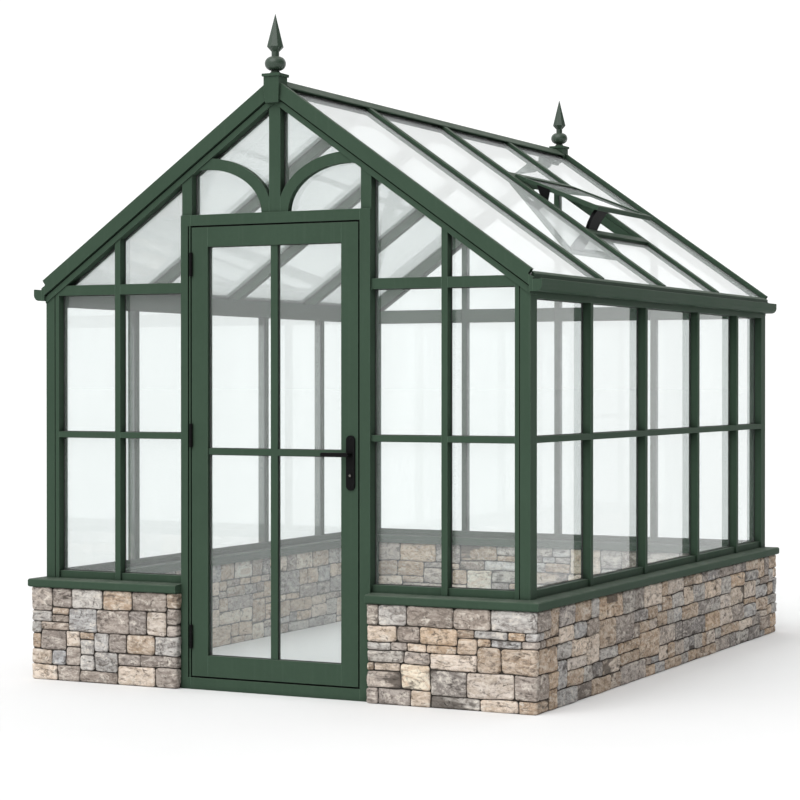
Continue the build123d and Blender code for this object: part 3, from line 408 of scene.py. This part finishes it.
class Finishes:
    """Makes the materials and keeps them by name in MATERIALS."""

    def __init__(self, scene):
        self.paint = scene.greenhouse_paint
        self.glass_settings = scene.greenhouse_glass
        self.edges = soft_edges_group()
        self.mottle = mottle_group()
        self.grain = grain_group()
        self.dust = dust_group()
        self.corners = corner_shade_group()

    def group(self, g, tree, **values):
        """The outputs of a shared group placed in a material, with its own values."""
        node = g.add("Group", node_tree=tree)
        for name, value in values.items():
            g.feed(node.inputs[name], value)
        return node.outputs

    def start(self, name):
        """A new material with one main shader: gives its graph, the shader's inputs and the output node."""
        material = bpy.data.materials.new(name)
        material.use_nodes = True
        material.node_tree.nodes.clear()
        g = Graph(material.node_tree)
        shader = g.add("BsdfPrincipled")
        output = g.add("OutputMaterial", {"Surface": shader.outputs[0]})
        MATERIALS[name] = material
        return g, shader.inputs, output

    def coat(self, name, colour, roughness, dust, runs, edge_highlight, shine, grain_depth=0.00004, grain=700.0,
             metallic=0.0):
        """Powder coat: mottled colour, a painted highlight on the soft edges, painted shade in corners and grooves,
        dust above and faint water marks.
        """
        g, into, _ = self.start(name)
        edge = self.group(g, self.edges, Radius=self.paint.edge)
        patches = self.group(g, self.mottle, Scale=2.6, Amount=0.10)
        mask = self.group(g, self.dust, Dust=dust, Runs=runs)["Mask"]
        base = g.mix(1.0, (*colour, 1.0), g.add("CombineColor", {0: patches["Factor"], 1: patches["Factor"],
                                                                2: patches["Factor"]}).outputs[0], "MULTIPLY")
        # painted highlight: the soft edges lighten towards 2.4 times the colour plus 0.03
        lit = g.mix(g.math("MULTIPLY", edge["Edge"], edge_highlight), base, tuple(min(1.0, 0.03 + 2.4 * c)
                                                                             for c in colour))
        dusty = g.mix(mask, lit, (0.40, 0.40, 0.36))
        # painted shade: where the corner mask is high, the colour darkens towards 0.22 of itself
        corner = self.group(g, self.corners, Reach=0.045)["Mask"]
        g.feed(into["Base Color"], g.mix(g.math("MULTIPLY", corner, 0.85), dusty, tuple(0.22 * c for c in colour)))
        rough = g.math("ADD", g.math("MULTIPLY", patches["Patches"], 0.08), roughness)
        g.feed(into["Roughness"], g.math("ADD", rough, g.math("MULTIPLY", mask, 0.4), clamp=True))
        into["Specular IOR Level"].default_value = shine
        into["Metallic"].default_value = metallic
        g.feed(into["Normal"], self.group(g, self.grain, Scale=grain, Depth=grain_depth,
                                          Normal=edge["Normal"])["Normal"])

    def glass(self, name, clarity, smears):
        """Clear float glass: a faint film that changes its gloss, faint lighter streaks in its colour as a painted
        reflection, and light from lamps goes straight through.
        """
        g, into, output = self.start(name)
        film = self.group(g, self.mottle, Scale=1.7, Amount=0.3)
        place = g.add("TexCoord").outputs["Object"]
        reflection_streaks = g.ramp(g.noise(g.stretched(place, (3.0, 3.0, 0.6)), 1.0, 4.0, 0.6), 0.45, 0.75)
        tint = tuple(self.glass_settings.tint)
        # painted reflection: faint streaks lighten the tint by 3 percent
        g.feed(into["Base Color"], g.mix(reflection_streaks, tint, tuple(min(1.0, c * 1.03) for c in tint)))
        g.feed(into["Roughness"], g.math("MULTIPLY", film["Patches"], smears))
        into["Metallic"].default_value = 0.0
        into["IOR"].default_value = 1.5
        into["Specular IOR Level"].default_value = 0.10
        into["Transmission Weight"].default_value = clarity
        lamp = g.add("LightPath").outputs["Is Shadow Ray"]
        clear = g.add("BsdfTransparent", {"Color": (0.98, 0.99, 0.985)})
        mixed = g.add("MixShader", {0: lamp, 1: output.inputs["Surface"].links[0].from_socket, 2: clear.outputs[0]})
        g.feed(output.inputs["Surface"], mixed.outputs[0])

    def rubber(self, name):
        """Black seal: dark, dull and a little dusty."""
        g, into, _ = self.start(name)
        patches = self.group(g, self.mottle, Scale=30.0, Amount=0.3)
        mask = self.group(g, self.dust, Dust=0.3, Runs=0.1)["Mask"]
        g.feed(into["Base Color"], g.mix(mask, (0.012, 0.013, 0.012), (0.2, 0.2, 0.18)))
        g.feed(into["Roughness"], g.math("MULTIPLY", patches["Factor"], 0.62))
        g.feed(into["Normal"], self.group(g, self.grain, Scale=900.0, Depth=0.00003)["Normal"])

    def stone(self, name):
        """Split stone: each stone's own two colours in drifting layers, stains, dark cracks, a painted highlight on
        the split faces' ridges and painted shade in their hollows and where each stone rounds back into its joint.
        """
        g, into, _ = self.start(name)
        place = g.add("TexCoord").outputs["Object"]
        main = g.add("Attribute", attribute_name="stone_colour").outputs["Color"]
        second = g.add("Attribute", attribute_name="stone_vein").outputs["Color"]
        height = g.add("Attribute", attribute_name="stone_height").outputs["Fac"]
        offset = g.add("Attribute", attribute_name="stone_offset").outputs["Vector"]
        shifted = g.add("VectorMath", {0: place, 1: offset}, operation="ADD").outputs[0]
        bedded = g.stretched(shifted, (1.0, 1.0, 2.3))
        layers = g.noise(bedded, 15.0, 7.0, 0.66, 1.4)
        blotch = g.noise(shifted, 30.0, 6.0, 0.68, 0.6)
        speck = g.noise(place, 380.0, 3.0, 0.7)
        cracks = g.math("ABSOLUTE", g.math("SUBTRACT", g.noise(bedded, 9.0, 6.0, 0.62, 1.1), 0.5))
        crack = g.math("MULTIPLY", g.ramp(cracks, 0.016, 0.0), g.ramp(blotch, 0.44, 0.58))
        faces = g.math("ADD", g.math("MULTIPLY", g.noise(bedded, 12.0, 9.0, 0.72, 1.3), 0.62),
                       g.math("MULTIPLY", g.noise(shifted, 48.0, 7.0, 0.72, 0.8), 0.38))
        colour = g.mix(g.ramp(layers, 0.42, 0.62), main, second)
        # painted highlight: the ridges of the noise that also drives the bump are lightened towards a pale cream
        pale = g.mix(g.ramp(faces, 0.51, 0.60, 0.0, 0.70), colour, (0.76, 0.70, 0.62))
        # painted shade: the hollows of that noise are darkened towards a dark brown
        dark = g.mix(g.ramp(faces, 0.49, 0.40, 0.0, 0.66), pale, (0.13, 0.108, 0.09))
        salted = g.mix(g.ramp(speck, 0.58, 0.74, 0.0, 0.14), dark, (0.8, 0.77, 0.72))
        peppered = g.mix(g.ramp(speck, 0.42, 0.28, 0.0, 0.24), salted, (0.10, 0.085, 0.07))
        cracked = g.mix(g.math("MULTIPLY", crack, 0.7), peppered, (0.085, 0.07, 0.058))
        # painted shade: where the stone rounds back towards its joint, and in the face's deepest hollows, the colour
        # darkens
        sunk_shade = g.mix(g.ramp(height, 0.22, 0.0, 0.0, 0.8), cracked, (0.085, 0.070, 0.058))
        g.feed(into["Base Color"], sunk_shade)
        g.feed(into["Roughness"], g.ramp(blotch, 0.2, 0.8, 0.95, 0.80))
        into["Specular IOR Level"].default_value = 0.2
        rough = g.math("SUBTRACT", g.math("MULTIPLY", faces, 2.0), g.math("MULTIPLY", crack, 0.5))
        coarse = g.add("Bump", {"Strength": 1.0, "Distance": 0.0100, "Height": rough})
        g.feed(into["Normal"], self.group(g, self.grain, Scale=330.0, Depth=0.0006,
                                          Normal=coarse.outputs[0])["Normal"])

    def mortar(self, name):
        """Sandy joint filling, in shade between the stones."""
        g, into, _ = self.start(name)
        patches = self.group(g, self.mottle, Scale=40.0, Amount=0.3)
        g.feed(into["Base Color"], g.mix(patches["Patches"], (0.024, 0.019, 0.015), (0.05, 0.042, 0.034)))
        g.feed(into["Roughness"], g.math("MULTIPLY", patches["Factor"], 0.92, clamp=True))
        g.feed(into["Normal"], self.group(g, self.grain, Scale=400.0, Depth=0.0012)["Normal"])

    def floor(self, name):
        """Plain pale studio floor, with the faintest change in gloss."""
        g, into, _ = self.start(name)
        patches = self.group(g, self.mottle, Scale=0.6, Amount=0.005)
        g.feed(into["Base Color"], g.mix(patches["Patches"], (0.78, 0.78, 0.78), (0.77, 0.77, 0.77)))
        g.feed(into["Roughness"], g.math("MULTIPLY", patches["Factor"], 0.9, clamp=True))
        into["Specular IOR Level"].default_value = 0.2


MATERIALS = {}


def finishes():
    """The one set of materials, made at its first use."""
    if not MATERIALS:
        makes = Finishes(bpy.context.scene)
        paint, panes = makes.paint, makes.glass_settings
        makes.coat("Green Powder Coat", tuple(paint.green), roughness=0.46, dust=paint.dust, runs=0.012,
                   edge_highlight=0.9, shine=0.025)
        makes.coat("Green Cast Finial", tuple(0.8 * c for c in paint.green), roughness=0.33, dust=paint.dust,
                   runs=0.012, edge_highlight=0.6, shine=0.4, grain_depth=0.00012, grain=320.0)
        makes.coat("Black Fitting", tuple(paint.black), roughness=0.50, dust=0.02, runs=0.0, edge_highlight=0.15,
                   shine=0.07)
        makes.coat("Lock Steel", (0.20, 0.19, 0.175), roughness=0.3, dust=0.02, runs=0.0, edge_highlight=0.3,
                   shine=0.5, metallic=1.0)
        makes.glass("Wall Glass", clarity=panes.clarity, smears=0.012)
        makes.glass("Roof Glass", clarity=panes.roof_clarity, smears=0.05)
        makes.rubber("Glazing Rubber")
        makes.stone("Split Stone")
        makes.mortar("Mortar")
        makes.floor("Studio Floor")
    return MATERIALS


def repaint(names, material):
    """Gives CAD nodes a material in place of their plain one."""
    for name in names:
        slots = NODES[name].data.materials
        slots.clear()
        slots.append(finishes()[material])


# --- stone walls

# (main colour, vein colour, share) of each kind of stone in the walls
STONE_KINDS = (
    ((0.60, 0.515, 0.44), (0.44, 0.36, 0.285), 0.19),
    ((0.48, 0.385, 0.30), (0.34, 0.25, 0.175), 0.19),
    ((0.37, 0.275, 0.20), (0.50, 0.42, 0.34), 0.09),
    ((0.45, 0.435, 0.415), (0.29, 0.27, 0.255), 0.19),
    ((0.34, 0.295, 0.26), (0.22, 0.185, 0.16), 0.16),
    ((0.20, 0.18, 0.168), (0.36, 0.335, 0.31), 0.09),
    ((0.42, 0.37, 0.33), (0.27, 0.24, 0.22), 0.09),
)
STONE_HEIGHTS = (2, 3, 4, 5, 6, 7)          # in rows
STONE_HEIGHT_SHARES = (0.07, 0.21, 0.34, 0.19, 0.12, 0.07)
LEVEL_CHANCE = 0.62        # how often a stone's top levels up with the stone on its left
LEAST_BESIDE = 5           # columns left for the next stone, or else this one takes them too
LEAST_ABOVE = 3            # rows left above a stone, or else it runs on to the wall's top
CORNER_RADIUS = 0.014      # rounding of the wall's outer corners
STONE_CORNER = 0.012       # rounding of a stone's corners
STONE_EDGE = 0.006         # rounding of a stone's edges
STONE_BULK = 0.55          # how deep that rounding goes, as a share of the joints' depth
STONE_WOBBLE = 0.0005      # wander of a stone's outline
JOINT_WANDER = (0.0036, 0.0034)             # wander of the joints along and up the wall
DEEPEST_SPLIT, HIGHEST_SPLIT = -0.0055, 0.0060
DOOR_RETURN = 0.045        # how far the facing turns in beside the door
OUTER_LIFT, INNER_LIFT_AND_PAINTED_LIGHT = 1.22, 1.36       # lift of the stones' colours outside, and inside, where the extra lift is painted light for the light that the glass keeps off


class WallPath:
    """The line that a row of stones follows, with its outward direction and rounded outer corners."""

    def __init__(self, corners, radius):
        corners = np.array(corners, float)
        steps = np.diff(corners, axis=0)
        along = steps / np.linalg.norm(steps, axis=1)[:, None]
        out = np.stack([along[:, 1], -along[:, 0]], 1)
        places, outward = [corners[0]], [out[0]]
        turn = np.linspace(0, pi / 2, 9)[:, None]
        for i in range(1, len(corners) - 1):
            centre = corners[i] - radius * (out[i - 1] + out[i])
            sweep = np.cos(turn) * out[i - 1] + np.sin(turn) * out[i]
            places.extend(centre + radius * sweep)
            outward.extend(sweep)
        places.append(corners[-1])
        outward.append(out[-1])
        self.places, self.outward = np.array(places), np.array(outward)
        gaps = np.linalg.norm(np.diff(self.places, axis=0), axis=1)
        self.marks = np.concatenate([[0.0], np.cumsum(gaps)])
        self.length = self.marks[-1]

    def point(self, u, v, rise):
        """Points in space: at distance u along the line and height v, lifted by rise along the outward direction."""
        u = np.clip(u, 0, self.length)
        x, y = (np.interp(u, self.marks, self.places[:, i]) for i in (0, 1))
        nx, ny = (np.interp(u, self.marks, self.outward[:, i]) for i in (0, 1))
        size = np.hypot(nx, ny)
        return np.stack([x + rise * nx / size, y + rise * ny / size, v], -1)


def lay_stones(columns, rows, random):
    """Fills a sheet of small cells with stones, bottom row first. Each starts in the next free cell. Its height is
    random or levels up with the stone on its left, and its end avoids the joints of the row below where it can.
    Returns (first column, first row, end column, end row) of each."""
    owner = np.full((rows, columns), -1)
    stones = []
    for row in range(rows):
        column = 0
        while column < columns:
            if owner[row, column] >= 0:
                column += 1
                continue
            taken = owner[row, column:] >= 0
            run = int(np.argmax(taken)) if taken.any() else columns - column
            tall = int(random.choice(STONE_HEIGHTS, p=STONE_HEIGHT_SHARES))
            beside = owner[row, column - 1] if column else -1
            if beside >= 0 and random.random() < LEVEL_CHANCE and 2 <= stones[beside][3] - row <= 6:
                tall = int(stones[beside][3] - row)
            if rows - row - tall < LEAST_ABOVE:
                tall = rows - row
            wanted = int(random.integers(max(5, tall), 16)) if tall > 2 else int(random.integers(4, 11))
            length = min(wanted, run)
            if run - length < LEAST_BESIDE:
                length = run if run < 18 else run // 2
            elif row:
                below = owner[row - 1]
                for shift in (0, 1, -1, 2, -2):
                    end = column + length + shift
                    if run - length - shift >= LEAST_BESIDE and below[end - 1] == below[end]:
                        length += shift
                        break
            owner[row:row + tall, column:column + length] = len(stones)
            stones.append((column, row, column + length, row + tall))
            column += length
    return stones


def stone_lump(path, span, wall_height, warp_seed, settings, spacing, random):
    """One stone: a grid over its rounded outline, lifted by rounded edges, a random lean and split-face noise,
    closed by a rim that goes back to the joint and a flat back. Returns points, faces and relative heights."""
    (u0, u1), (v0, v1) = span
    half = np.array([(u1 - u0 - settings.joint) / 2, (v1 - v0 - settings.joint) / 2])
    columns, rows = (max(5, int(round(2 * h / spacing)) + 1) for h in half)
    a, b = np.meshgrid(np.linspace(-1, 1, columns) * half[0], np.linspace(-1, 1, rows) * half[1])
    corner = min(STONE_CORNER * random.uniform(0.5, 1.5), 0.45 * half.min())
    dx, dy = np.maximum(np.abs(a) - half[0] + corner, 0), np.maximum(np.abs(b) - half[1] + corner, 0)
    both = (dx > 0) & (dy > 0)
    pull = np.where(both, np.maximum(dx, dy) / np.maximum(np.hypot(dx, dy), 1e-9), 1.0)
    a = np.where(both, np.sign(a) * (half[0] - corner + dx * pull), a)
    b = np.where(both, np.sign(b) * (half[1] - corner + dy * pull), b)
    reach = np.minimum(half[0] - np.abs(a), half[1] - np.abs(b))
    round_reach = corner - np.hypot(dx * pull, dy * pull)
    inside = np.where(both, round_reach, reach)
    edge = STONE_EDGE * random.uniform(0.7, 1.4)
    drop = np.clip(1 - inside / edge, 0, 1)
    seed = int(random.integers(1, 1 << 20))
    lean = random.normal(0, 0.014) * a + random.normal(0, 0.022) * b
    split = layered_noise(a / 0.062 + seed, b / 0.030, seed, 4)
    ridge = 1 - np.abs(layered_noise(a / 0.090, b / 0.028 + seed, seed + 7, 3))
    rise = random.normal(0, 0.0014) + lean + settings.relief * (0.55 * split + 0.8 * (ridge - 0.62))
    rise = np.clip(rise, DEEPEST_SPLIT, HIGHEST_SPLIT)
    bulk = settings.joint_depth * STONE_BULK
    rise = rise - bulk * (1 - np.sqrt(np.maximum(1 - drop ** 2, 0)))
    u = (u0 + u1) / 2 + a * (1 - STONE_WOBBLE / half[0] * (1 + soft_noise(b / 0.022, 0 * b + seed, 5)))
    v = (v0 + v1) / 2 + b * (1 - STONE_WOBBLE / half[1] * (1 + soft_noise(a / 0.030, 0 * a + seed, 6)))
    off_edges = np.clip(4 * v * (wall_height - v) / 0.02, 0, 1)
    shift_u = JOINT_WANDER[0] * soft_noise(u / 0.11, v / 0.075, warp_seed)
    shift_v = JOINT_WANDER[1] * soft_noise(u / 0.10, v / 0.085, warp_seed + 3) * off_edges
    u, v = u + shift_u, v + shift_v
    rim = rim_of_grid(rows, columns)
    back = np.full(len(rim), -settings.joint_depth - 0.002)
    front_points = path.point(u.ravel(), v.ravel(), rise.ravel())
    back_points = path.point(u.ravel()[rim], v.ravel()[rim], back)
    n = rows * columns
    around = np.arange(len(rim))
    following = np.roll(around, -1)
    sides = np.stack([rim[following], rim[around], n + around, n + following], -1)
    depth = np.concatenate([(rise.ravel() + bulk) / (1.6 * bulk), np.zeros(len(rim))])
    return (np.concatenate([front_points, back_points]),
            [grid_faces(rows, columns), sides, (n + around[::-1])[None, :]], np.clip(depth, 0, 1))


def stone_colours(random, lift_and_painted_light):
    """A stone's main and vein colour, picked by share, shifted a little in lightness and warmth and times a lift,
    which on the inner faces holds painted light.
    """
    kind = STONE_KINDS[int(random.choice(len(STONE_KINDS), p=[k[2] for k in STONE_KINDS]))]
    light, warm = lift_and_painted_light * random.normal(1.0, 0.09), random.normal(0, 0.018)
    tone = np.array([light * (1 + warm), light, light * (1 - 1.4 * warm)])
    return [np.append(np.clip(np.array(c) * tone, 0.03, 0.85), 1.0) for c in kind[:2]]


def wall_core(low, high, depth):
    """The mortar behind the joints: a box set in from the wall's faces by its depth along each axis, as eight corners
    and six quads."""
    x, y, z = [(l + d, h - d) for l, h, d in zip(low, high, depth)]
    points = [(x[i & 1], y[i >> 1 & 1], z[i >> 2]) for i in range(8)]
    quads = [(0, 2, 3, 1), (4, 5, 7, 6), (0, 1, 5, 4), (2, 6, 7, 3), (0, 4, 6, 2), (1, 3, 7, 5)]
    return points, [np.array(quads)]


class GREENHOUSE_OT_stone_walls(bpy.types.Operator):
    """Face the low walls inside and out with split stones of mixed sizes in tight joints"""
    bl_idname = "greenhouse.stone_walls"
    bl_label = "Stone walls"

    def execute(self, context):
        settings = context.scene.greenhouse_stone
        random = np.random.default_rng(settings.seed)
        boxes = {name: [np.array(c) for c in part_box(name)] for name in STONE_WALLS}
        whole_low = np.min([b[0] for b in boxes.values()], 0)
        whole_high = np.max([b[1] for b in boxes.values()], 0)
        height = whole_high[2]
        thickness = boxes["front_stone_wall_left"][1][1] - whole_low[1]
        door = boxes["front_stone_wall_right"][0][0]
        xs, ys = whole_high[0], whole_high[1]
        ix, iy = xs - thickness, ys - thickness
        outer = WallPath([(door, -ys + DOOR_RETURN), (door, -ys), (xs, -ys), (xs, ys), (-xs, ys), (-xs, -ys),
                          (-door, -ys), (-door, -ys + DOOR_RETURN)], CORNER_RADIUS)
        inner = [WallPath([(-ix, -iy), (-ix, iy)], 0.0), WallPath([(-ix, iy), (ix, iy)], 0.0),
                 WallPath([(ix, iy), (ix, -iy)], 0.0), WallPath([(ix, -iy), (door, -iy)], 0.0),
                 WallPath([(-door, -iy), (-ix, -iy)], 0.0)]
        walls = {name: Parts() for name in STONE_WALLS}
        rows = int(round(height / settings.row))
        row = height / rows
        for path in [outer] + inner:
            if path is outer:
                spacing, lift_and_painted_light = settings.outer_grid, OUTER_LIFT
            else:
                # painted light: the inner stones get a larger lift, standing in for the light that the glass keeps
                # from them
                spacing, lift_and_painted_light = settings.inner_grid, INNER_LIFT_AND_PAINTED_LIGHT
            columns = int(round(path.length / settings.step))
            step = path.length / columns
            warp_seed = int(random.integers(1, 1 << 16))
            for c0, r0, c1, r1 in lay_stones(columns, rows, random):
                span = ((c0 * step, c1 * step), (r0 * row, r1 * row))
                points, faces, heights = stone_lump(path, span, height, warp_seed, settings, spacing, random)
                main, vein = stone_colours(random, lift_and_painted_light)
                points[:, 2] = np.clip(points[:, 2], 0.0, height)
                middle = points.mean(0)
                gaps = [np.linalg.norm(np.maximum(np.maximum(b[0] - middle, middle - b[1]), 0))
                        for b in boxes.values()]
                wall = walls[STONE_WALLS[int(np.argmin(gaps))]]
                wall.add(points, faces, 0, stone_colour=main, stone_vein=vein,
                         stone_offset=np.append(random.uniform(-9, 9, 3), 1.0))
                wall.values.setdefault("stone_height", []).append(heights[:, None])
        for name, wall in walls.items():
            points, faces = wall_core(*boxes[name], (settings.joint_depth, settings.joint_depth, 0.0))
            wall.add(points, faces, 1, stone_colour=(0.1, 0.1, 0.1, 1), stone_vein=(0.1, 0.1, 0.1, 1),
                     stone_offset=(0, 0, 0, 1), stone_height=0.0)
            piece = wall.build(name.replace("wall", "facing"), [finishes()["Split Stone"], finishes()["Mortar"]],
                               "frame", "stone")
            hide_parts(name)
        return {"FINISHED"}


# --- paint and glass on the CAD pieces

class GREENHOUSE_OT_paint(bpy.types.Operator):
    """Give the frame its green powder coat and the fittings their black"""
    bl_idname = "greenhouse.paint"
    bl_label = "Paint and metal"

    def execute(self, context):
        special = set(STONE_WALLS + WALL_GLASS + ROOF_GLASS + DOOR_GLASS + BLACK_METAL + CAST_PARTS)
        repaint(sorted(set(NODES) - special), "Green Powder Coat")
        repaint(CAST_PARTS, "Green Cast Finial")
        repaint(BLACK_METAL, "Black Fitting")
        return {"FINISHED"}


class GREENHOUSE_OT_panes(bpy.types.Operator):
    """Give the panes clear glass"""
    bl_idname = "greenhouse.panes"
    bl_label = "Panes"

    def execute(self, context):
        repaint(WALL_GLASS + DOOR_GLASS, "Wall Glass")
        repaint(ROOF_GLASS, "Roof Glass")
        return {"FINISHED"}


# --- seals and fixings

GLASS_BITE = 0.0057        # how far the panes reach into their grooves
SEAL_TUCK = 0.0007         # how far a seal reaches into the groove with the pane
# (how far into the doorway, how far behind the leaf) round the bulb of the door's stop seal
STOP_SEAL = ((0.0, 0.0018), (0.0100, 0.0018), (0.0120, 0.0030), (0.0125, 0.0060), (0.0110, 0.0090), (0.0, 0.0120))
SCREW_RADIUS, SCREW_HEIGHT, SCREW_FROM_END = 0.0042, 0.0011, 0.017
LOCK_RADIUS, LOCK_HEIGHT = 0.0050, 0.0008


class GREENHOUSE_OT_seals(bpy.types.Operator):
    """Lay a rubber bead along both faces of every pane, and a stop seal behind the door leaf"""
    bl_idname = "greenhouse.seals"
    bl_label = "Seals"

    def execute(self, context):
        width = context.scene.greenhouse_glass.seal
        outer, inner = GLASS_BITE - SEAL_TUCK, GLASS_BITE + width
        bead = ((outer, 0.0), (outer, 0.0021), (inner - 0.0012, 0.0021), (inner, 0.0009), (inner, 0.0))
        for name, nodes, body in (("wall_glass_seals", WALL_GLASS, "frame"), ("roof_glass_seals", ROOF_GLASS, "frame"),
                                  ("door_glass_seals", DOOR_GLASS, "door")):
            seals = Parts()
            for node in nodes:
                for pane in islands(node):
                    corners, face, place = pane_outline(pane)
                    for side in (1, -1):
                        section = [(d, side * (face + h)) for d, h in bead]
                        seals.add(*ring(corners, section, place))
            seals.build(name, [finishes()["Glazing Rubber"]], body, "black_metal", smooth=False)
        head, step, leaf = (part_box(name) for name in ("door_head", "door_threshold", "door_stiles"))
        left, right, low, high = head[0][0], head[1][0], step[1][2], head[0][2]
        corners = np.array([(left, low), (right, low), (right, high), (left, high)])
        behind = leaf[1][1]
        stop = Parts()
        stop.add(*ring(corners, STOP_SEAL, lambda p: np.stack([p[:, 0], behind + p[:, 2], p[:, 1]], 1)))
        stop.build("door_stop_seal", [finishes()["Glazing Rubber"]], "frame", "black_metal", smooth=False)
        return {"FINISHED"}


def recessed_head(centre, out, radius, height, recess):
    """A domed round head: rings of 40 points, lifted by height times (1 - 0.3 (r / R)^2), sunk where the recess says
    so. Returns its points, the faces of the dome and the faces of the recess."""
    turn = np.linspace(0, 2 * pi, 40, endpoint=False)
    share = np.array([1.0, 1.0, 0.97, 0.88, 0.76, 0.66, 0.56, 0.46, 0.36, 0.26, 0.16, 0.06])
    x, z = (share[:, None] * f(turn)[None, :] for f in (np.cos, np.sin))
    sunk = recess(x, z)
    lift = height * (1 - 0.3 * (x ** 2 + z ** 2)) - 0.7 * height * sunk
    lift[0], lift[1] = -0.0004, 0.55 * height
    y = centre[1] + out * lift
    points = np.stack([centre[0] + radius * x, y, centre[2] + radius * z], -1).reshape(-1, 3)
    faces = grid_faces(len(share), len(turn), wrap=True)
    middle = np.arange(len(turn))[None, :] + (len(share) - 1) * len(turn)
    base = np.arange(len(turn))[None, ::-1]
    if out > 0:
        faces, middle, base = faces[:, ::-1], middle[:, ::-1], base[:, ::-1]
    deep = sunk.ravel()[faces].all(1)
    return points, (faces[~deep], base), (faces[deep], middle)


def cross_recess(x, z):
    """A cross: near either axis and inside 0.6 of the radius."""
    return (np.minimum(np.abs(x), np.abs(z)) < 0.15) & (np.hypot(x, z) < 0.6)


def key_recess(x, z):
    """A keyway: a narrow upright slot with a round top."""
    return ((np.abs(x) < 0.13) & (z < 0.3) & (z > -0.62)) | (np.hypot(x, z - 0.28) < 0.27)


class GREENHOUSE_OT_fixings(bpy.types.Operator):
    """Put screws in the door's handle plates and a face with a keyway on each end of its lock"""
    bl_idname = "greenhouse.fixings"
    bl_label = "Fixings"

    def execute(self, context):
        steel, black = finishes()["Lock Steel"], finishes()["Black Fitting"]
        low, high = (np.array(c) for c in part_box("door_handle_plates"))
        lock_low, lock_high = (np.array(c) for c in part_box("door_lock_cylinder"))
        screws, faces_of_lock = Parts(), Parts()
        x = (low[0] + high[0]) / 2
        lock = (lock_low + lock_high) / 2
        for out, face, end in ((-1, low[1], lock_low[1]), (1, high[1], lock_high[1])):
            for z in (low[2] + SCREW_FROM_END, high[2] - SCREW_FROM_END):
                points, dome, sunk = recessed_head((x, face, z), out, SCREW_RADIUS, SCREW_HEIGHT, cross_recess)
                screws.add(points, dome + sunk)
            points, dome, sunk = recessed_head((lock[0], end, lock[2]), out, LOCK_RADIUS, LOCK_HEIGHT, key_recess)
            faces_of_lock.add(points, dome + sunk, (0, 0, 1, 1))
        screws.build("handle_screws", [black], "door", "black_metal")
        faces_of_lock.build("lock_faces", [steel, black], "door", "black_metal", smooth=False)
        return {"FINISHED"}


# --- stage

FLOOR_REACH = 400.0        # from the middle to each side of the floor
SHADE_FROM, SHADE_TO = 0.50, 0.88           # where the surround dims, as the sideways part of its direction


class GREENHOUSE_OT_stage(bpy.types.Operator):
    """Set up the pale floor, the soft studio light and the camera"""
    bl_idname = "greenhouse.stage"
    bl_label = "Stage"

    def execute(self, context):
        scene = context.scene
        stage = scene.greenhouse_stage
        scene.view_settings.view_transform = "Standard"
        mesh = bpy.data.meshes.new("studio_floor")
        mesh.from_pydata([(x * FLOOR_REACH, y * FLOOR_REACH, 0) for x, y in ((-1, -1), (1, -1), (1, 1), (-1, 1))], [],
                         [(0, 1, 2, 3)])
        mesh.materials.append(finishes()["Studio Floor"])
        floor = bpy.data.objects.new("studio_floor", mesh)
        scene.collection.objects.link(floor)
        world = bpy.data.worlds.new("studio_surround")
        world.use_nodes = True
        surround = world.node_tree.nodes["Background"].inputs
        surround["Color"].default_value = (1, 1, 1, 1)
        g = Graph(world.node_tree)
        way = g.add("SeparateXYZ", {0: g.add("TexCoord").outputs["Generated"]}).outputs["X"]
        share = g.ramp(way, SHADE_FROM, SHADE_TO, 1.0, stage.shade)
        g.feed(surround["Strength"], g.math("MULTIPLY", share, stage.sky))
        scene.world = world
        data = bpy.data.lights.new("soft_sun", "SUN")
        data.energy = stage.sun
        data.angle = stage.spread
        lamp = bpy.data.objects.new("soft_sun", data)
        lamp.rotation_euler = Vector(stage.bearing).to_track_quat("Z", "Y").to_euler()
        scene.collection.objects.link(lamp)
        data = bpy.data.cameras.new("camera")
        data.sensor_width = 36.0
        data.lens = stage.lens
        data.clip_end = 1000.0
        camera = bpy.data.objects.new("camera", data)
        camera.location = stage.eye
        camera.rotation_euler = (pi / 2 + stage.pitch, 0.0, stage.azimuth)
        scene.collection.objects.link(camera)
        scene.camera = camera
        return {"FINISHED"}


class GREENHOUSE_PT_panel(bpy.types.Panel):
    """Lists the steps and their settings"""
    bl_idname = "GREENHOUSE_PT_panel"
    bl_label = "Greenhouse"
    bl_space_type = "VIEW_3D"
    bl_region_type = "UI"
    bl_category = "Greenhouse"

    def draw(self, context):
        for settings, operators in PANEL_ROWS:
            group = getattr(context.scene, settings)
            for prop in group.__annotations__:
                self.layout.prop(group, prop)
            for operator in operators:
                self.layout.operator(operator.bl_idname)


PANEL_ROWS = (
    ("greenhouse_stone", (GREENHOUSE_OT_stone_walls,)),
    ("greenhouse_paint", (GREENHOUSE_OT_paint,)),
    ("greenhouse_glass", (GREENHOUSE_OT_panes, GREENHOUSE_OT_seals, GREENHOUSE_OT_fixings)),
    ("greenhouse_stage", (GREENHOUSE_OT_stage,)),
)
SETTINGS = {"greenhouse_stone": StoneSettings, "greenhouse_paint": PaintSettings, "greenhouse_glass": GlassSettings,
            "greenhouse_stage": StageSettings}
OPERATORS = tuple(operator for _, operators in PANEL_ROWS for operator in operators)
CLASSES = tuple(SETTINGS.values()) + OPERATORS + (GREENHOUSE_PT_panel,)


def register():
    for cls in CLASSES:
        bpy.utils.register_class(cls)
    for name, cls in SETTINGS.items():
        setattr(bpy.types.Scene, name, bpy.props.PointerProperty(type=cls))


def unregister():
    for name in SETTINGS:
        delattr(bpy.types.Scene, name)
    for cls in reversed(CLASSES):
        bpy.utils.unregister_class(cls)


def main():
    """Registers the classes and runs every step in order."""
    register()
    for operator in OPERATORS:
        category, name = operator.bl_idname.split(".")
        getattr(getattr(bpy.ops, category), name)()
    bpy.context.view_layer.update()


if __name__ == "__main__":
    main()
